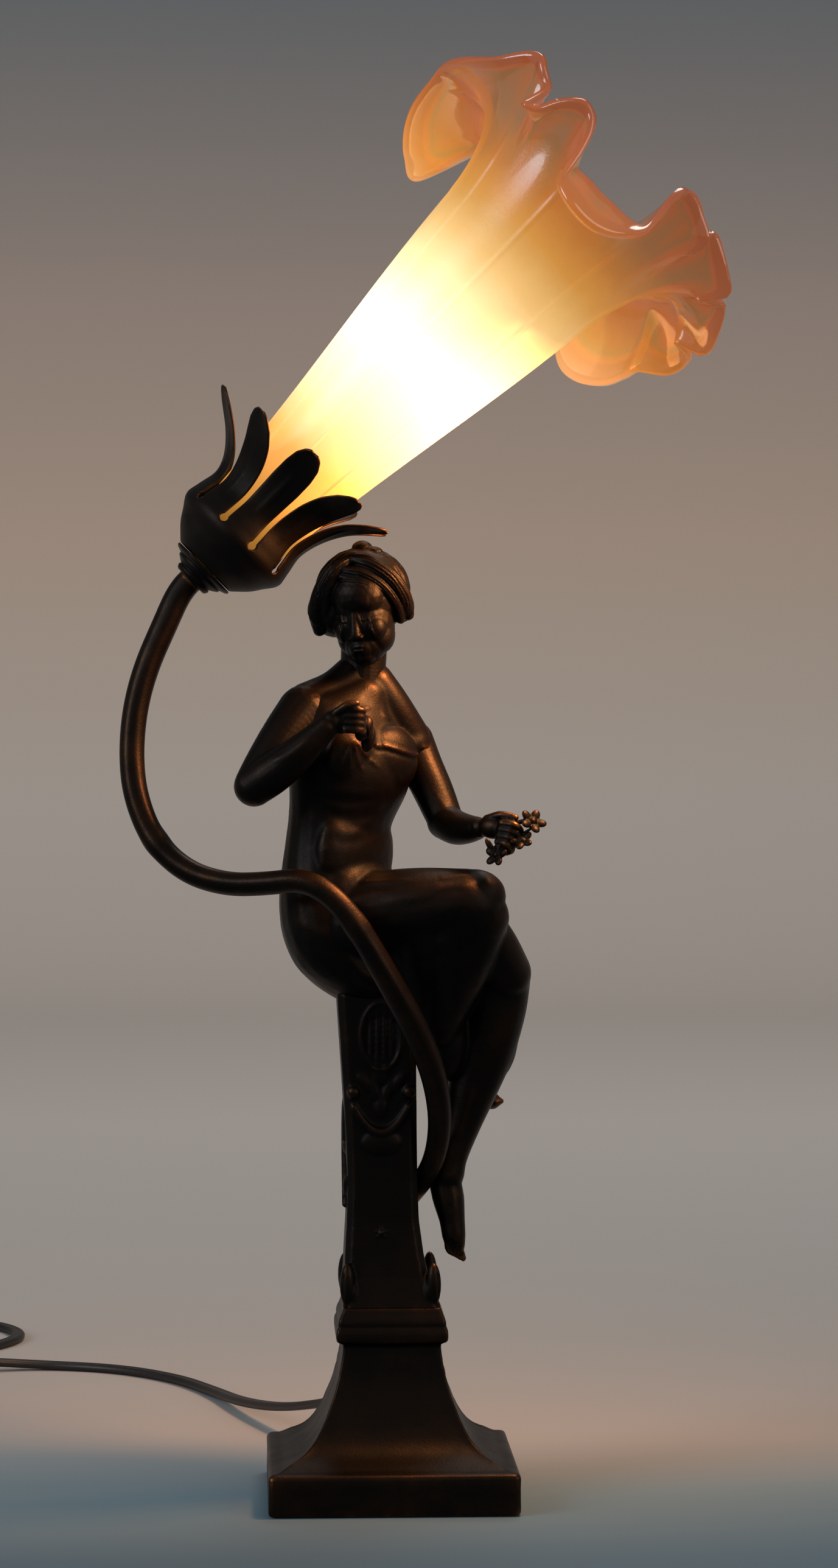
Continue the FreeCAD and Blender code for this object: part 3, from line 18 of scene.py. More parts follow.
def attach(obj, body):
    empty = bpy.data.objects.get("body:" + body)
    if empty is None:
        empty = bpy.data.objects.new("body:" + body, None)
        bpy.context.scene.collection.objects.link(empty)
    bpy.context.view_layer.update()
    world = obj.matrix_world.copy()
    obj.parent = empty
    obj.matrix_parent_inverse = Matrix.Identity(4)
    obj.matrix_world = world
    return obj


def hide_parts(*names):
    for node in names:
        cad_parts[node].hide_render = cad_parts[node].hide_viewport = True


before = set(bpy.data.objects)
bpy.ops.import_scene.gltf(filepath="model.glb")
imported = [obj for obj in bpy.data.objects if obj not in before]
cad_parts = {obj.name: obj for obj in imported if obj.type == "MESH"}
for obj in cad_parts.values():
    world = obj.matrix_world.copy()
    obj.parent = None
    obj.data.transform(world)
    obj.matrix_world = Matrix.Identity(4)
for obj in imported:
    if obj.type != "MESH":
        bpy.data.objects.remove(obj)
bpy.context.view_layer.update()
MM = 0.001
print("parts in the model:", len(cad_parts))

# %% [markdown]
# ## The camera
# A studio photograph of a half-metre lamp is taken from well back with a long lens, so
# the two ends of the lamp are seen from nearly the same side. The camera stands 1.37 m
# away, a little to the left, and looks slightly down. The long side of the frame is
# upright, so the sensor is fitted to the height.

# %% Camera
def placed(name, data):
    """A new object in the scene, from its mesh, curve, lamp or camera."""
    thing = bpy.data.objects.new(name, data)
    bpy.context.scene.collection.objects.link(thing)
    return thing


view = bpy.data.cameras.new("studio_camera")
view.sensor_fit = 'VERTICAL'
view.sensor_height = 36.0
view.lens = 92.7
view.clip_end = 30.0
camera = placed("studio_camera", view)
camera.location = (-0.0502, -1.3731, 0.271)
camera.rotation_euler = (math.radians(90.0 - 1.19), 0.0, math.radians(-2.5))
bpy.context.scene.camera = camera
print("camera lens in mm:", view.lens)

# %% [markdown]
# ## Colours and nodes
# Finishes are written as the hex values that a paint chart gives. Blender works with
# linear light, so one function converts them. The others each add one kind of node and
# give back its output, so that a finish reads as a short sum. A value may be a number or
# another node's output, which is then linked.

# %% Colour and node helpers
def paint(hex_text):
    """An sRGB hex colour as the linear colour that a shader needs."""
    parts = [int(hex_text[i:i + 2], 16) / 255 for i in (0, 2, 4)]
    linear = [p / 12.92 if p <= 0.04045 else ((p + 0.055) / 1.055) ** 2.4 for p in parts]
    return (*linear, 1.0)


def fill(tree, node, sockets):
    """Fills a node's sockets: each with a value, or with a link from another socket."""
    for name, value in sockets.items():
        if isinstance(value, bpy.types.NodeSocket):
            tree.links.new(value, node.inputs[name])
        else:
            node.inputs[name].default_value = value


def new_finish(name):
    """An empty material with its tree, its shader and the place in the piece's own space."""
    finish = bpy.data.materials.new(name)
    finish.use_nodes = True
    tree = finish.node_tree
    where = tree.nodes.new('ShaderNodeTexCoord').outputs["Object"]
    return finish, tree, tree.nodes["Principled BSDF"], where


def node_out(tree, kind, sockets, out=0, **options):
    """Adds a node with its options and sockets, and gives back one of its outputs."""
    node = tree.nodes.new('ShaderNode' + kind)
    for name, value in options.items():
        setattr(node, name, value)
    fill(tree, node, sockets)
    return node.outputs[out]


def sums(tree, operation, a, b=0.0, c=0.0, **options):
    return node_out(tree, 'Math', {0: a, 1: b, 2: c}, operation=operation, **options)


def noise(tree, where, scale, detail, roughness=0.5):
    return node_out(tree, 'TexNoise', {"Vector": where, "Scale": scale, "Detail": detail,
                                       "Roughness": roughness}, "Fac")


def from_to(tree, value, low, high, least=0.0, most=1.0):
    """The value's run from low to high, as a run from least to most."""
    return node_out(tree, 'MapRange', {"Value": value, "From Min": low, "From Max": high,
                                       "To Min": least, "To Max": most})


def ramp(tree, value, stops):
    """A colour ramp over a value, from (position, hex) stops."""
    out = node_out(tree, 'ValToRGB', {"Fac": value}, "Color")
    elements = out.node.color_ramp.elements
    while len(elements) < len(stops):
        elements.new(0.5)
    for element, (position, colour) in zip(elements, stops):
        element.position = position
        element.color = paint(colour)
    return out


def noted(tree, name):
    """A number kept with the mesh."""
    return node_out(tree, 'Attribute', {}, "Fac", attribute_name=name)


def bumped(tree, height, strength, distance):
    return node_out(tree, 'Bump', {"Height": height, "Strength": strength, "Distance": distance})


# %% [markdown]
# ## Making solid shapes from simple ones
# Sculpture is built here the way a modeller builds it in clay. Balls and short runs of
# balls give the masses, a voxel remesh melts them into one skin, a little smoothing
# takes away the seams, and then strokes push folds, strands and creases into the skin.
# All of it is drawn in millimetres and scaled to metres once, at the end.

# %% Meshes, skins between rings and modifiers
def drawn(bm):
    """The mesh of a finished drawing."""
    mesh = bpy.data.meshes.new("drawn")
    bm.to_mesh(mesh)
    bm.free()
    return mesh


def mesh_from(bm):
    """The same, with doubles merged and the faces of closed shapes turned outwards."""
    bmesh.ops.remove_doubles(bm, verts=bm.verts, dist=1e-4)
    bmesh.ops.recalc_face_normals(bm, faces=bm.faces)
    return drawn(bm)


def skin_rings(bm, rings, capped=True, all_round=True):
    """Faces between rings of equally many points, and over the first and the last ring."""
    for low, high in zip(rings, rings[1:]):
        count = len(low)
        for k in range(count if all_round else count - 1):
            after = (k + 1) % count
            bm.faces.new((low[k], low[after], high[after], high[k]))
    if capped:
        bm.faces.new(list(reversed(rings[0])))
        bm.faces.new(rings[-1])


def turned_out(mesh, number):
    """Turns an open skin's faces away from the Z axis, judged by one of them."""
    face = mesh.polygons[number]
    if face.normal.x * face.center.x + face.normal.y * face.center.y < 0:
        mesh.flip_normals()


def changed(data, *steps):
    """The mesh that modifiers make of a mesh or curve, each given as (kind, options)."""
    holder = placed("blank", data)
    for kind, options in steps:
        step = holder.modifiers.new(kind.lower(), kind)
        for name, value in options.items():
            setattr(step, name, value)
    depsgraph = bpy.context.evaluated_depsgraph_get()
    mesh = bpy.data.meshes.new_from_object(holder.evaluated_get(depsgraph))
    bpy.data.objects.remove(holder)
    return mesh


# %% Balls, limbs and towers of balls
def flowing(points, steps):
    """Points on a smooth curve through the given ones (they may carry extra numbers)."""
    points = np.array(points, dtype=float)
    padded = np.vstack([2 * points[0] - points[1], points, 2 * points[-1] - points[-2]])
    out = []
    for a, b, c, d in zip(padded, padded[1:], padded[2:], padded[3:]):
        for t in np.linspace(0, 1, steps, endpoint=False):
            out.append(0.5 * (2 * b + (c - a) * t + (2 * a - 5 * b + 4 * c - d) * t ** 2
                              + (3 * b - a - 3 * c + d) * t ** 3))
    out.append(points[-1])
    return np.array(out)


def ball(bm, centre, size, turn=None, detail=3):
    """An egg: size is one radius or three, and turn is a rotation matrix."""
    size = (size, size, size) if isinstance(size, (int, float)) else size
    matrix = Matrix.Translation(centre)
    if turn is not None:
        matrix = matrix @ turn.to_4x4()
    matrix = matrix @ Matrix.Diagonal((*size, 1.0))
    bmesh.ops.create_icosphere(bm, subdivisions=detail, radius=1.0, matrix=matrix)


def turned_by(yaw=0.0, roll=0.0, pitch=0.0):
    """A rotation: yaw about Z, then roll about Y and pitch about X, in degrees."""
    about_z = Matrix.Rotation(math.radians(yaw), 3, 'Z')
    about_y = Matrix.Rotation(math.radians(roll), 3, 'Y')
    about_x = Matrix.Rotation(math.radians(pitch), 3, 'X')
    return about_z @ about_y @ about_x


def limb(stations):
    """A mesh of close balls along stations of (x, y, z, radius)."""
    bm = bmesh.new()
    last = None
    for x, y, z, radius in flowing(stations, 12):
        here = Vector((x, y, z))
        if last is not None and (here - last).length < 0.13 * radius:
            continue
        last = here
        ball(bm, here, float(radius), detail=2 if radius < 4 else 3)
    return drawn(bm)


def tower(sections, steps, thick):
    """A mesh of flattened balls through (x, y, z, yaw, roll, half width, half depth)."""
    bm = bmesh.new()
    for x, y, z, yaw, roll, wide, deep in flowing(sections, steps):
        ball(bm, (x, y, z), (wide, deep, thick), turned_by(yaw, roll))
    return drawn(bm)


def eggs(rows):
    """A mesh of single balls: (centre, size) or (centre, size, turn)."""
    bm = bmesh.new()
    for row in rows:
        ball(bm, *row)
    return drawn(bm)


# %% [markdown]
# ## Strokes
# A stroke is a line drawn near the skin, with a width and a height. It is dropped onto
# the nearest surface, and every point near it moves along its own normal, most in the
# middle and none at the edge. A positive height raises a fold or a strand, a negative
# one cuts a crease. Both ends fade out, as they do under a modeller's thumb.

# %% Strokes on a skin
def read_points(mesh, what="co"):
    numbers = np.empty(len(mesh.vertices) * 3)
    mesh.vertices.foreach_get(what, numbers)
    return numbers.reshape(-1, 3)


def sculpt(mesh, strokes):
    """Pushes the skin near each stroke: (points, width, height) and how far its ends fade."""
    points = read_points(mesh)
    normals = read_points(mesh, "normal")
    skin = BVHTree.FromPolygons([tuple(p) for p in points],
                                [tuple(face.vertices) for face in mesh.polygons])
    push = np.zeros(len(points))
    for line, width, height, *rest in strokes:
        fade = rest[0] if rest else 0.25
        if len(line) == 2:
            line = [line[0], np.mean(line, axis=0), line[1]]
        dense = flowing(line, 14)
        dense = np.array([skin.find_nearest(Vector(p))[0] for p in dense])
        share = np.linspace(0, 1, len(dense))
        if fade > 0:
            strength = np.clip(np.minimum(share, 1 - share) / fade, 0, 1)
            strength = strength * strength * (3 - 2 * strength)
        else:
            strength = np.ones(len(dense))
        low = dense.min(axis=0) - 2.2 * width
        high = dense.max(axis=0) + 2.2 * width
        near = np.nonzero(np.all((points > low) & (points < high), axis=1))[0]
        for start in range(0, len(near), 20000):
            some = near[start:start + 20000]
            gap = np.linalg.norm(points[some, None, :] - dense[None, :, :], axis=2)
            closest = gap.argmin(axis=1)
            distance = gap[np.arange(len(some)), closest]
            amount = height * np.exp(-1.4 * (distance / width) ** 2) * strength[closest]
            push[some] += amount
    points += normals * push[:, None]
    mesh.vertices.foreach_set("co", points.ravel())
    mesh.update()


# %% [markdown]
# ## Wear
# Handling rubs a patina through on whatever stands proud and leaves it dark in the
# hollows. Each point compares itself with its neighbours: where they fall away it is a
# ridge, and where they rise it is a hollow. The result is kept with the mesh as a
# number called wear, 0.5 on the flat, which the bronze finish reads.

# %% Wear from the shape
def note_wear(mesh, rounds=3, gain=1.0):
    points = read_points(mesh)
    normals = read_points(mesh, "normal")
    ends = np.empty(len(mesh.edges) * 2, dtype=np.int64)
    mesh.edges.foreach_get("vertices", ends)
    a, b = ends.reshape(-1, 2).T
    count = np.bincount(a, minlength=len(points)) + np.bincount(b, minlength=len(points))
    count = np.maximum(count, 1)
    step = points[b] - points[a]
    length = np.maximum(np.linalg.norm(step, axis=1), 1e-9)
    falls = -np.einsum('ij,ij->i', step, normals[a]) / length
    rises = np.einsum('ij,ij->i', step, normals[b]) / length
    bend = np.bincount(a, falls, len(points)) + np.bincount(b, rises, len(points))
    bend /= count
    for _ in range(rounds):
        bend = (np.bincount(a, bend[b], len(points)) + np.bincount(b, bend[a],
                                                                   len(points))) / count
    spread = np.percentile(np.abs(bend), 90) + 1e-9
    wear = np.clip(0.5 + 0.25 * gain * bend / spread, 0, 1)
    layer = mesh.attributes.new("wear", 'FLOAT', 'POINT')
    layer.data.foreach_set("value", wear)


# %% [markdown]
# ## From a drawing to a piece of the lamp
# Two ways lead to a finished piece. A casting melts several closed shapes together. A
# drawn piece keeps the faces it was drawn with, as turned and moulded parts do.

# %% Finishing a piece
def finish_mesh(name, mesh, finish, body, stands_for=()):
    """Puts a mesh drawn in millimetres on the lamp, in metres."""
    mesh.transform(Matrix.Scale(MM, 4))
    mesh.name = name
    mesh.materials.clear()
    mesh.materials.append(finish)
    mesh.shade_smooth()
    piece = placed(name, mesh)
    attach(piece, body)
    if stands_for:
        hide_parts(*stands_for)
    print(name, "faces:", len(mesh.polygons))
    return piece


def melt(meshes, voxel, smoothing):
    """One skin round overlapping closed meshes."""
    bm = bmesh.new()
    for mesh in meshes:
        bm.from_mesh(mesh)
        bpy.data.meshes.remove(mesh)
    return changed(drawn(bm), ('REMESH', {"mode": 'VOXEL', "voxel_size": voxel}),
                   ('SMOOTH', {"factor": 0.5, "iterations": smoothing}))


def cast_piece(name, stands_for, meshes, voxel=0.6, smoothing=6, strokes=(), gain=1.0):
    """A bronze casting melted from closed meshes, with its strokes and its wear."""
    skin = melt(meshes, voxel, smoothing)
    sculpt(skin, strokes)
    note_wear(skin, gain=gain)
    return finish_mesh(name, skin, cast_bronze, "lamp", (stands_for,))


# %% [markdown]
# ## The studio
# The lamp stands on a wide sheet of pale paper that curves up behind it, so no corner
# shows. Three large soft lights and an even grey world show the colours as they are
# written. The paper is a strip with an arc in it, far enough back that the camera can
# walk round the lamp, and its colour runs from a cool blue grey at the front over a warm
# pale grey to a darker grey at the top. The rise to the warm pale grey in the middle of
# the sweep and the fall to the darker grey at the top are painted light and shade.

# %% Paper sweep
paper_finish, tree, shader, where = new_finish("backdrop_paper")
apart = node_out(tree, 'SeparateXYZ', {"Vector": where}).node.outputs
along = from_to(tree, sums(tree, 'ADD', apart["Y"], apart["Z"]), -0.3, 4.3)
# The ramp's warm pale middle and darker top are painted light and shade on the paper.
paper_tint_and_painted_light = ramp(tree, along, [(0.0415, "4F6C80"), (0.065, "6E8590"), (0.0874, "A2A3A3"),
                                (0.14, "ABADAC"), (0.331, "D4CFCB"), (0.673, "EEE5DC"),
                                (0.786, "EED7C4"), (0.863, "D9C7BC"), (0.941, "9FA4A8")])
fill(tree, shader, {"Base Color": paper_tint_and_painted_light, "Roughness": 0.9, "Specular IOR Level": 0.2})

HALF_WIDTH = 7.0
ARC = 0.9
ARC_FROM = 2.1
path = [(-4.0, 0.0), (ARC_FROM, 0.0)]
path += [(ARC_FROM + ARC * math.sin(a), ARC - ARC * math.cos(a))
         for a in np.linspace(0.1, math.pi / 2, 16)]
path += [(ARC_FROM + ARC, 6.5)]
bm = bmesh.new()
skin_rings(bm, [[bm.verts.new((x, y, z)) for x in (-HALF_WIDTH, HALF_WIDTH)] for y, z in path],
           capped=False, all_round=False)
paper_mesh = drawn(bm)
paper_mesh.shade_smooth()
paper_mesh.materials.append(paper_finish)
placed("backdrop", paper_mesh)

# %% Lights
def soft_light(name, at, towards, size, power, colour):
    lamp = bpy.data.lights.new(name, 'AREA')
    lamp.shape = 'DISK'
    lamp.size = size
    lamp.energy = power
    lamp.color = paint(colour)[:3]
    holder = placed(name, lamp)
    holder.location = at
    holder.rotation_euler = (Vector(towards) - Vector(at)).to_track_quat('-Z', 'Y').to_euler()
    holder.visible_camera = False


soft_light("window_left", (-1.6, -1.0, 1.0), (0, 0, 0.2), 1.1, 16.0, "E6EEFA")
soft_light("fill_right", (1.5, -1.3, 0.9), (0, 0, 0.2), 1.3, 7.0, "FFF2E2")
soft_light("high_back", (0.4, 0.9, 1.9), (0, 0.1, 0.2), 1.0, 9.0, "FFF6EC")

# The lit shade throws warm light down on the figure. The glass gives most of it, and this
# small lamp near the mouth adds the part that leaves through the open end.
soft_light("light_from_the_mouth", (0.092, -0.040, 0.344), (-0.002, 0.0, 0.25), 0.05, 1.0,
           "FFAC68")

world = bpy.data.worlds.new("studio")
world.use_nodes = True
world.node_tree.nodes["Background"].inputs["Color"].default_value = paint("B8B6B4")
world.node_tree.nodes["Background"].inputs["Strength"].default_value = 0.55
bpy.context.scene.world = world
bpy.context.scene.view_settings.view_transform = 'Standard'

# %% [markdown]
# ## Bronze
# The castings are art bronze with a brown chemical patina over the poured surface. It
# reads almost black where it lies undisturbed and shows warm metal where hands have
# rubbed it. A ramp goes from the dark patina to the rubbed metal by wear, broken up by
# cloudy patches about 12 mm across, and a fine grain of about 0.6 mm gives the
# roughness and the bump of a sand casting. The real grain is finer than the picture
# can show, so it is drawn a little coarser.

# %% Bronze finish
def bronze_finish(name, stops, roughness, patch=85.0, grain=1500.0, bump=0.12):
    finish, tree, shader, where = new_finish(name)
    cloud = noise(tree, where, patch, 5.0, 0.62)
    grit = noise(tree, where, grain, 3.0)
    level = sums(tree, 'MULTIPLY_ADD', cloud, 0.7, noted(tree, "wear"))
    level = sums(tree, 'SUBTRACT', level, 0.35)
    matt = from_to(tree, level, 0.2, 0.9, roughness + 0.12, roughness - 0.08)
    uneven = sums(tree, 'MULTIPLY_ADD', cloud, 1.5, grit)
    fill(tree, shader, {"Base Color": ramp(tree, level, stops), "Metallic": 0.85,
                        "Roughness": sums(tree, 'MULTIPLY_ADD', grit, 0.12, matt),
                        "Normal": bumped(tree, uneven, bump, 0.0006)})
    return finish


cast_bronze = bronze_finish("cast_bronze_brown_patina",
                            [(0.1, "070504"), (0.42, "0E0A07"), (0.62, "18100A"), (0.82, "2C1B0E"),
                             (0.99, "5C3B1C")], 0.36)
sheet_bronze = bronze_finish("sheet_bronze_dark_patina",
                             [(0.1, "0A0706"), (0.45, "15100C"), (0.7, "241A12"),
                              (0.95, "55391F")], 0.42, patch=60.0, grain=1100.0, bump=0.06)

# %% [markdown]
# ## The hidden metals, the felt and the black plastics
# Steel rod, nuts and screws are plated and slightly brushed, the bulb's cap is nickelled
# brass, and the lampholder is moulded black plastic with a white porcelain insert. The
# felt is pressed wool, which looks soft because its fibres catch light from the side.
# The flex is matt PVC.

# %% Small finishes
def plain_finish(name, dark, light, roughness, metallic, scale, bump, sheen=0.0, stretch=None):
    finish, tree, shader, where = new_finish(name)
    if stretch:
        where = node_out(tree, 'Mapping', {"Vector": where, "Scale": stretch})
    grain = noise(tree, where, scale, 4.0)
    fill(tree, shader, {"Base Color": ramp(tree, grain, [(0.3, dark), (0.72, light)]),
                        "Roughness": from_to(tree, grain, 0, 1, roughness - 0.07,
                                             roughness + 0.07),
                        "Normal": bumped(tree, grain, bump, 0.0003),
                        "Metallic": metallic, "Sheen Weight": sheen})
    return finish


zinc_steel = plain_finish("zinc_plated_steel", "8E9194", "A9ACAE", 0.35, 1.0, 300.0, 0.05,
                          stretch=(1, 1, 8))
nickel_brass = plain_finish("nickel_plated_brass", "A8A49B", "C2BEB4", 0.28, 1.0, 500.0, 0.04)
turned_brass = plain_finish("turned_brass", "9A7A3A", "B8964E", 0.32, 1.0, 350.0, 0.05)
pressed_felt = plain_finish("pressed_wool_felt", "10210F", "22381F", 0.95, 0.0, 1400.0, 0.7, 0.5)
black_pvc = plain_finish("matt_pvc_flex", "0D0C0B", "1B1917", 0.46, 0.0, 700.0, 0.15)
black_moulding = plain_finish("black_moulded_plastic", "0E0D0C", "1A1817", 0.36, 0.0, 900.0, 0.08)
holder_moulding = plain_finish("black_phenolic_moulding", "14110F", "241F1B", 0.30, 0.0, 600.0,
                               0.05)
white_porcelain = plain_finish("glazed_porcelain", "E4E0D6", "F0EDE6", 0.18, 0.0, 120.0, 0.02)

# %% [markdown]
# ## The flex
# The flex is flat twin: two round cores side by side in one black PVC skin, 5.6 mm wide
# and 3.2 mm thick, with a groove between them. It leaves the back of the base through a
# tapered relief, drops to the table, runs to a small switch and then makes a loose loop
# to the put-away length, which is wound in a flat coil and tied. A curve with the
# section of the flex as its bevel gives just that, and the section stays upright because
# the curve's twist follows Z. The same curve without a bevel gives the line that it is
# measured along.

# %% Routes of the flex, in millimetres
FLEX_WIDE = 5.6
FLEX_THICK = 3.2
LIES = 1.75
lead_route = [(-12, 40, 24.5), (-12, 53, 24.5), (-20, 76, 18), (-36, 112, 10), (-50.5, 153, 5),
              (-61, 193, 2.2), (-76, 227, LIES), (-100, 252, LIES), (-130, 262.5, LIES),
              (-158.63, 255.72, 4.6), (-176, 251, 5.2)]
loop_route = [(-232, 235.79, 5.2), (-249.37, 231.07, 4.8), (-272, 238, LIES), (-290, 258, LIES),
              (-297, 291, LIES), (-291, 327, LIES), (-267, 362, LIES), (-230, 383, LIES),
              (-190, 388, LIES), (-157, 371, LIES), (-142, 339, LIES), (-155, 306, LIES),
              (-181, 292, LIES), (-206, 292, LIES)]


def within(value, least=0.0, most=1.0):
    return min(max(value, least), most)


def eased(share):
    share = within(share)
    return share * share * (3 - 2 * share)


def coil_place(turn):
    """A point of the put-away coil: three turns in, and three turns out on top of them."""
    radius = 36 - 6.2 * (turn if turn <= 3 else 6 - turn)
    radius += 6.6 * max((turn - 5.5) / 0.5, 0.0) ** 2
    height = LIES + 3.7 * eased((turn - 2.75) / 0.5) + 1.55 * eased((turn - 5.6) / 0.4)
    angle = -math.pi / 2 - 2 * math.pi * turn
    return (-212 + radius * math.cos(angle), 328 + radius * math.sin(angle), height)


coil_route = [coil_place(turn) for turn in np.linspace(0, 6, 6 * 16 + 1)]
print("coil points:", len(coil_route))

# %% Flex from its routes
def flex_curve(name, route, bevel=None):
    data = bpy.data.curves.new(name, 'CURVE')
    data.dimensions = '3D'
    line = data.splines.new('NURBS')
    line.points.add(len(route) - 1)
    for point, (x, y, z) in zip(line.points, route):
        point.co = (x * MM, y * MM, z * MM, 1.0)
    line.order_u = 3
    line.use_endpoint_u = True
    line.resolution_u = 10
    data.twist_mode = 'Z_UP'
    if bevel:
        data.bevel_mode = 'OBJECT'
        data.bevel_object = bevel
        data.use_fill_caps = True
    return changed(data)


def twin_section():
    """The outline of two cores side by side, as a flat closed curve."""
    core = FLEX_THICK / 2
    out = FLEX_WIDE / 2 - core
    groove = math.acos(out * 0.72 / core)
    right = [(out + core * math.cos(a), core * math.sin(a))
             for a in np.linspace(-math.pi + groove, math.pi - groove, 11)]
    left = [(-x, -y) for x, y in right]
    data = bpy.data.curves.new("twin_section", 'CURVE')
    line = data.splines.new('POLY')
    line.points.add(len(right + left) - 1)
    for point, (x, y) in zip(line.points, right + left):
        point.co = (x * MM, y * MM, 0.0, 1.0)
    line.use_cyclic_u = True
    return placed("twin_section", data)


def lay_flex(name, route, stands_for, bevel, **facts):
    centre = flex_curve(name + "_line", route)
    path = [tuple(vertex.co) for vertex in centre.vertices]
    length = sum(math.dist(a, b) for a, b in zip(path, path[1:]))
    mesh = flex_curve(name, route, bevel)
    mesh.transform(Matrix.Scale(1 / MM, 4))
    piece = finish_mesh(name, mesh, black_pvc, "lamp", stands_for)
    print(name, "length in metres:", round(length, 4))
    return length


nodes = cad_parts

# %% [markdown]
# ## The lily shade
# The shade is blown into a ribbed mould, pulled out into a trumpet while it is hot, and
# its mouth is then pinched into deep ruffles. It is drawn here as a flat grid that is
# rolled up: one direction runs round the shade and the other from the neck to the rim.
# The rim is a closed line of (angle, radius, height) that a glassworker's pinches would
# leave, and the wall bends out to meet it. Eight thin mould seams run along the body.

# %% The shade's line and its wall
NECK_AT = Vector((-63.2, 0.0, 316.1))
TILT = math.radians(45.5)
TILTED = Matrix.Translation(NECK_AT) @ Matrix.Rotation(TILT, 4, 'Y')
NECK_HEIGHT = 6.1
NECK_RADIUS = 15.8
BODY_TOP = 150.0
BODY_RADIUS = 33.0
rim_line = [(-163, 57, 186.6), (-148, 53, 197.6), (-141, 51, 196.6), (-135, 47, 192),
            (-129.5, 54, 181), (-124, 52, 183), (-119, 53, 189.6), (-113, 53.5, 194.6),
            (-108, 52, 194), (-104, 52, 189), (-101, 53, 180), (-98, 56, 170), (-90, 59.2, 166),
            (-81.5, 59, 165.6), (-74.5, 58.7, 168), (-68, 57, 173), (-62.5, 54, 179),
            (-60, 50.5, 184), (-58, 45.6, 191), (-55, 41, 199), (-50, 38.4, 202.7),
            (-44, 39.6, 203.2), (-38, 43, 200.6), (-33, 49, 196), (-29, 46.4, 189.7),
            (-24, 44.6, 200.6), (-20, 49.4, 199), (-16, 56, 194.6), (-13, 60.6, 190),
            (-10, 54, 182), (-6, 61, 187), (-2, 66, 179), (2.5, 67.4, 172), (7, 58, 169),
            (12, 66, 168.4), (18, 67.4, 161.4), (24, 60.4, 154.6), (30, 61.4, 150),
            (37, 63, 144.4), (46, 62.6, 140), (54, 60, 140), (61, 55, 147), (69, 50, 162),
            (76, 51, 184), (84, 50, 189), (97, 55, 192), (106, 52, 192), (116, 55, 190),
            (124, 53, 186), (132, 55, 172), (141, 58, 148), (149, 62.4, 150), (156, 64.8, 155),
            (163, 65.6, 161.6), (170, 65, 170), (176, 64.6, 177)]
whole_turns = [(angle + whole, radius, height) for whole in (-360, 0, 360)
               for angle, radius, height in rim_line]
rim_dense = flowing(whole_turns, 8)
# The large lobes alone, without the small ruffles: the rim averaged over 40 degrees.
every_degree = np.arange(-220.0, 220.0)
rim = [np.interp(every_degree, rim_dense[:, 0], rim_dense[:, column]) for column in (1, 2)]
window = np.hanning(41) / np.hanning(41).sum()
lobes = [np.convolve(line, window, 'same') for line in rim]


def shade_wall(share, angle):
    """Radius and height of the shade's outside; share 0 is the neck and 1 the rim."""
    if share <= 0.6:
        height = NECK_HEIGHT + (BODY_TOP - NECK_HEIGHT) * share / 0.6
        straight = within((height - 14.0) / (BODY_TOP - 14.0))
        grow = (1 - math.cos(math.pi * within((height - 14.0) / 150.0))) / 2
        radius = NECK_RADIUS + (BODY_RADIUS - NECK_RADIUS) * (0.55 * straight + 0.45 * grow)
    else:
        part = (share - 0.6) / 0.4
        degrees = (math.degrees(angle) + 180) % 360 - 180
        rim_radius, rim_height = (np.interp(degrees, every_degree, line) for line in rim)
        lobe_radius, lobe_height = (np.interp(degrees, every_degree, line) for line in lobes)
        # Low lobes are rolled over: the wall climbs past their rim and comes down again.
        bend_height = 178.0 + 17.0 * within((190.0 - lobe_height) / 22.0)
        start, middle, end = (1 - part) ** 2, 2 * part * (1 - part), part ** 2
        radius = BODY_RADIUS * start + (BODY_RADIUS + 5.0) * middle + lobe_radius * end
        height = BODY_TOP * start + bend_height * middle + lobe_height * end
        radius += (rim_radius - lobe_radius) * part ** 3.4
        height += (rim_height - lobe_height) * part ** 3.4
    seam = math.exp(-((math.degrees(angle) + 8.0 + 22.5) % 45.0 - 22.5) ** 2 / 1.6)
    fading = within((share - 0.06) / 0.1) * within((0.80 - share) / 0.12)
    return radius + 0.6 * seam * fading, height


AROUND = 420
ALONG = 84
bm = bmesh.new()
bmesh.ops.create_grid(bm, x_segments=AROUND, y_segments=ALONG, size=1.0)
closeness = bm.verts.layers.float.new("edge")
for vert in bm.verts:
    angle = math.pi * vert.co.x
    share = (vert.co.y + 1) / 2
    radius, height = shade_wall(share, angle)
    vert.co = (radius * math.cos(angle), radius * math.sin(angle), height)
    vert[closeness] = share
shade_mesh = mesh_from(bm)
turned_out(shade_mesh, len(shade_mesh.polygons) // 2)
shade_mesh = changed(shade_mesh, ('SOLIDIFY', {"thickness": 1.8, "offset": -1.0}))

# The rim is fire-polished into a rounded bead, so its last 3 mm swell.
points = read_points(shade_mesh)
edge_share = np.empty(len(points))
shade_mesh.attributes["edge"].data.foreach_get("value", edge_share)
bead = np.clip((edge_share - 0.955) / 0.035, 0, 1)
points += read_points(shade_mesh, "normal") * (0.42 * bead * bead * (3 - 2 * bead))[:, None]
shade_mesh.vertices.foreach_set("co", points.ravel())
note_wear(shade_mesh, rounds=6, gain=1.2)
shade_mesh.transform(TILTED)
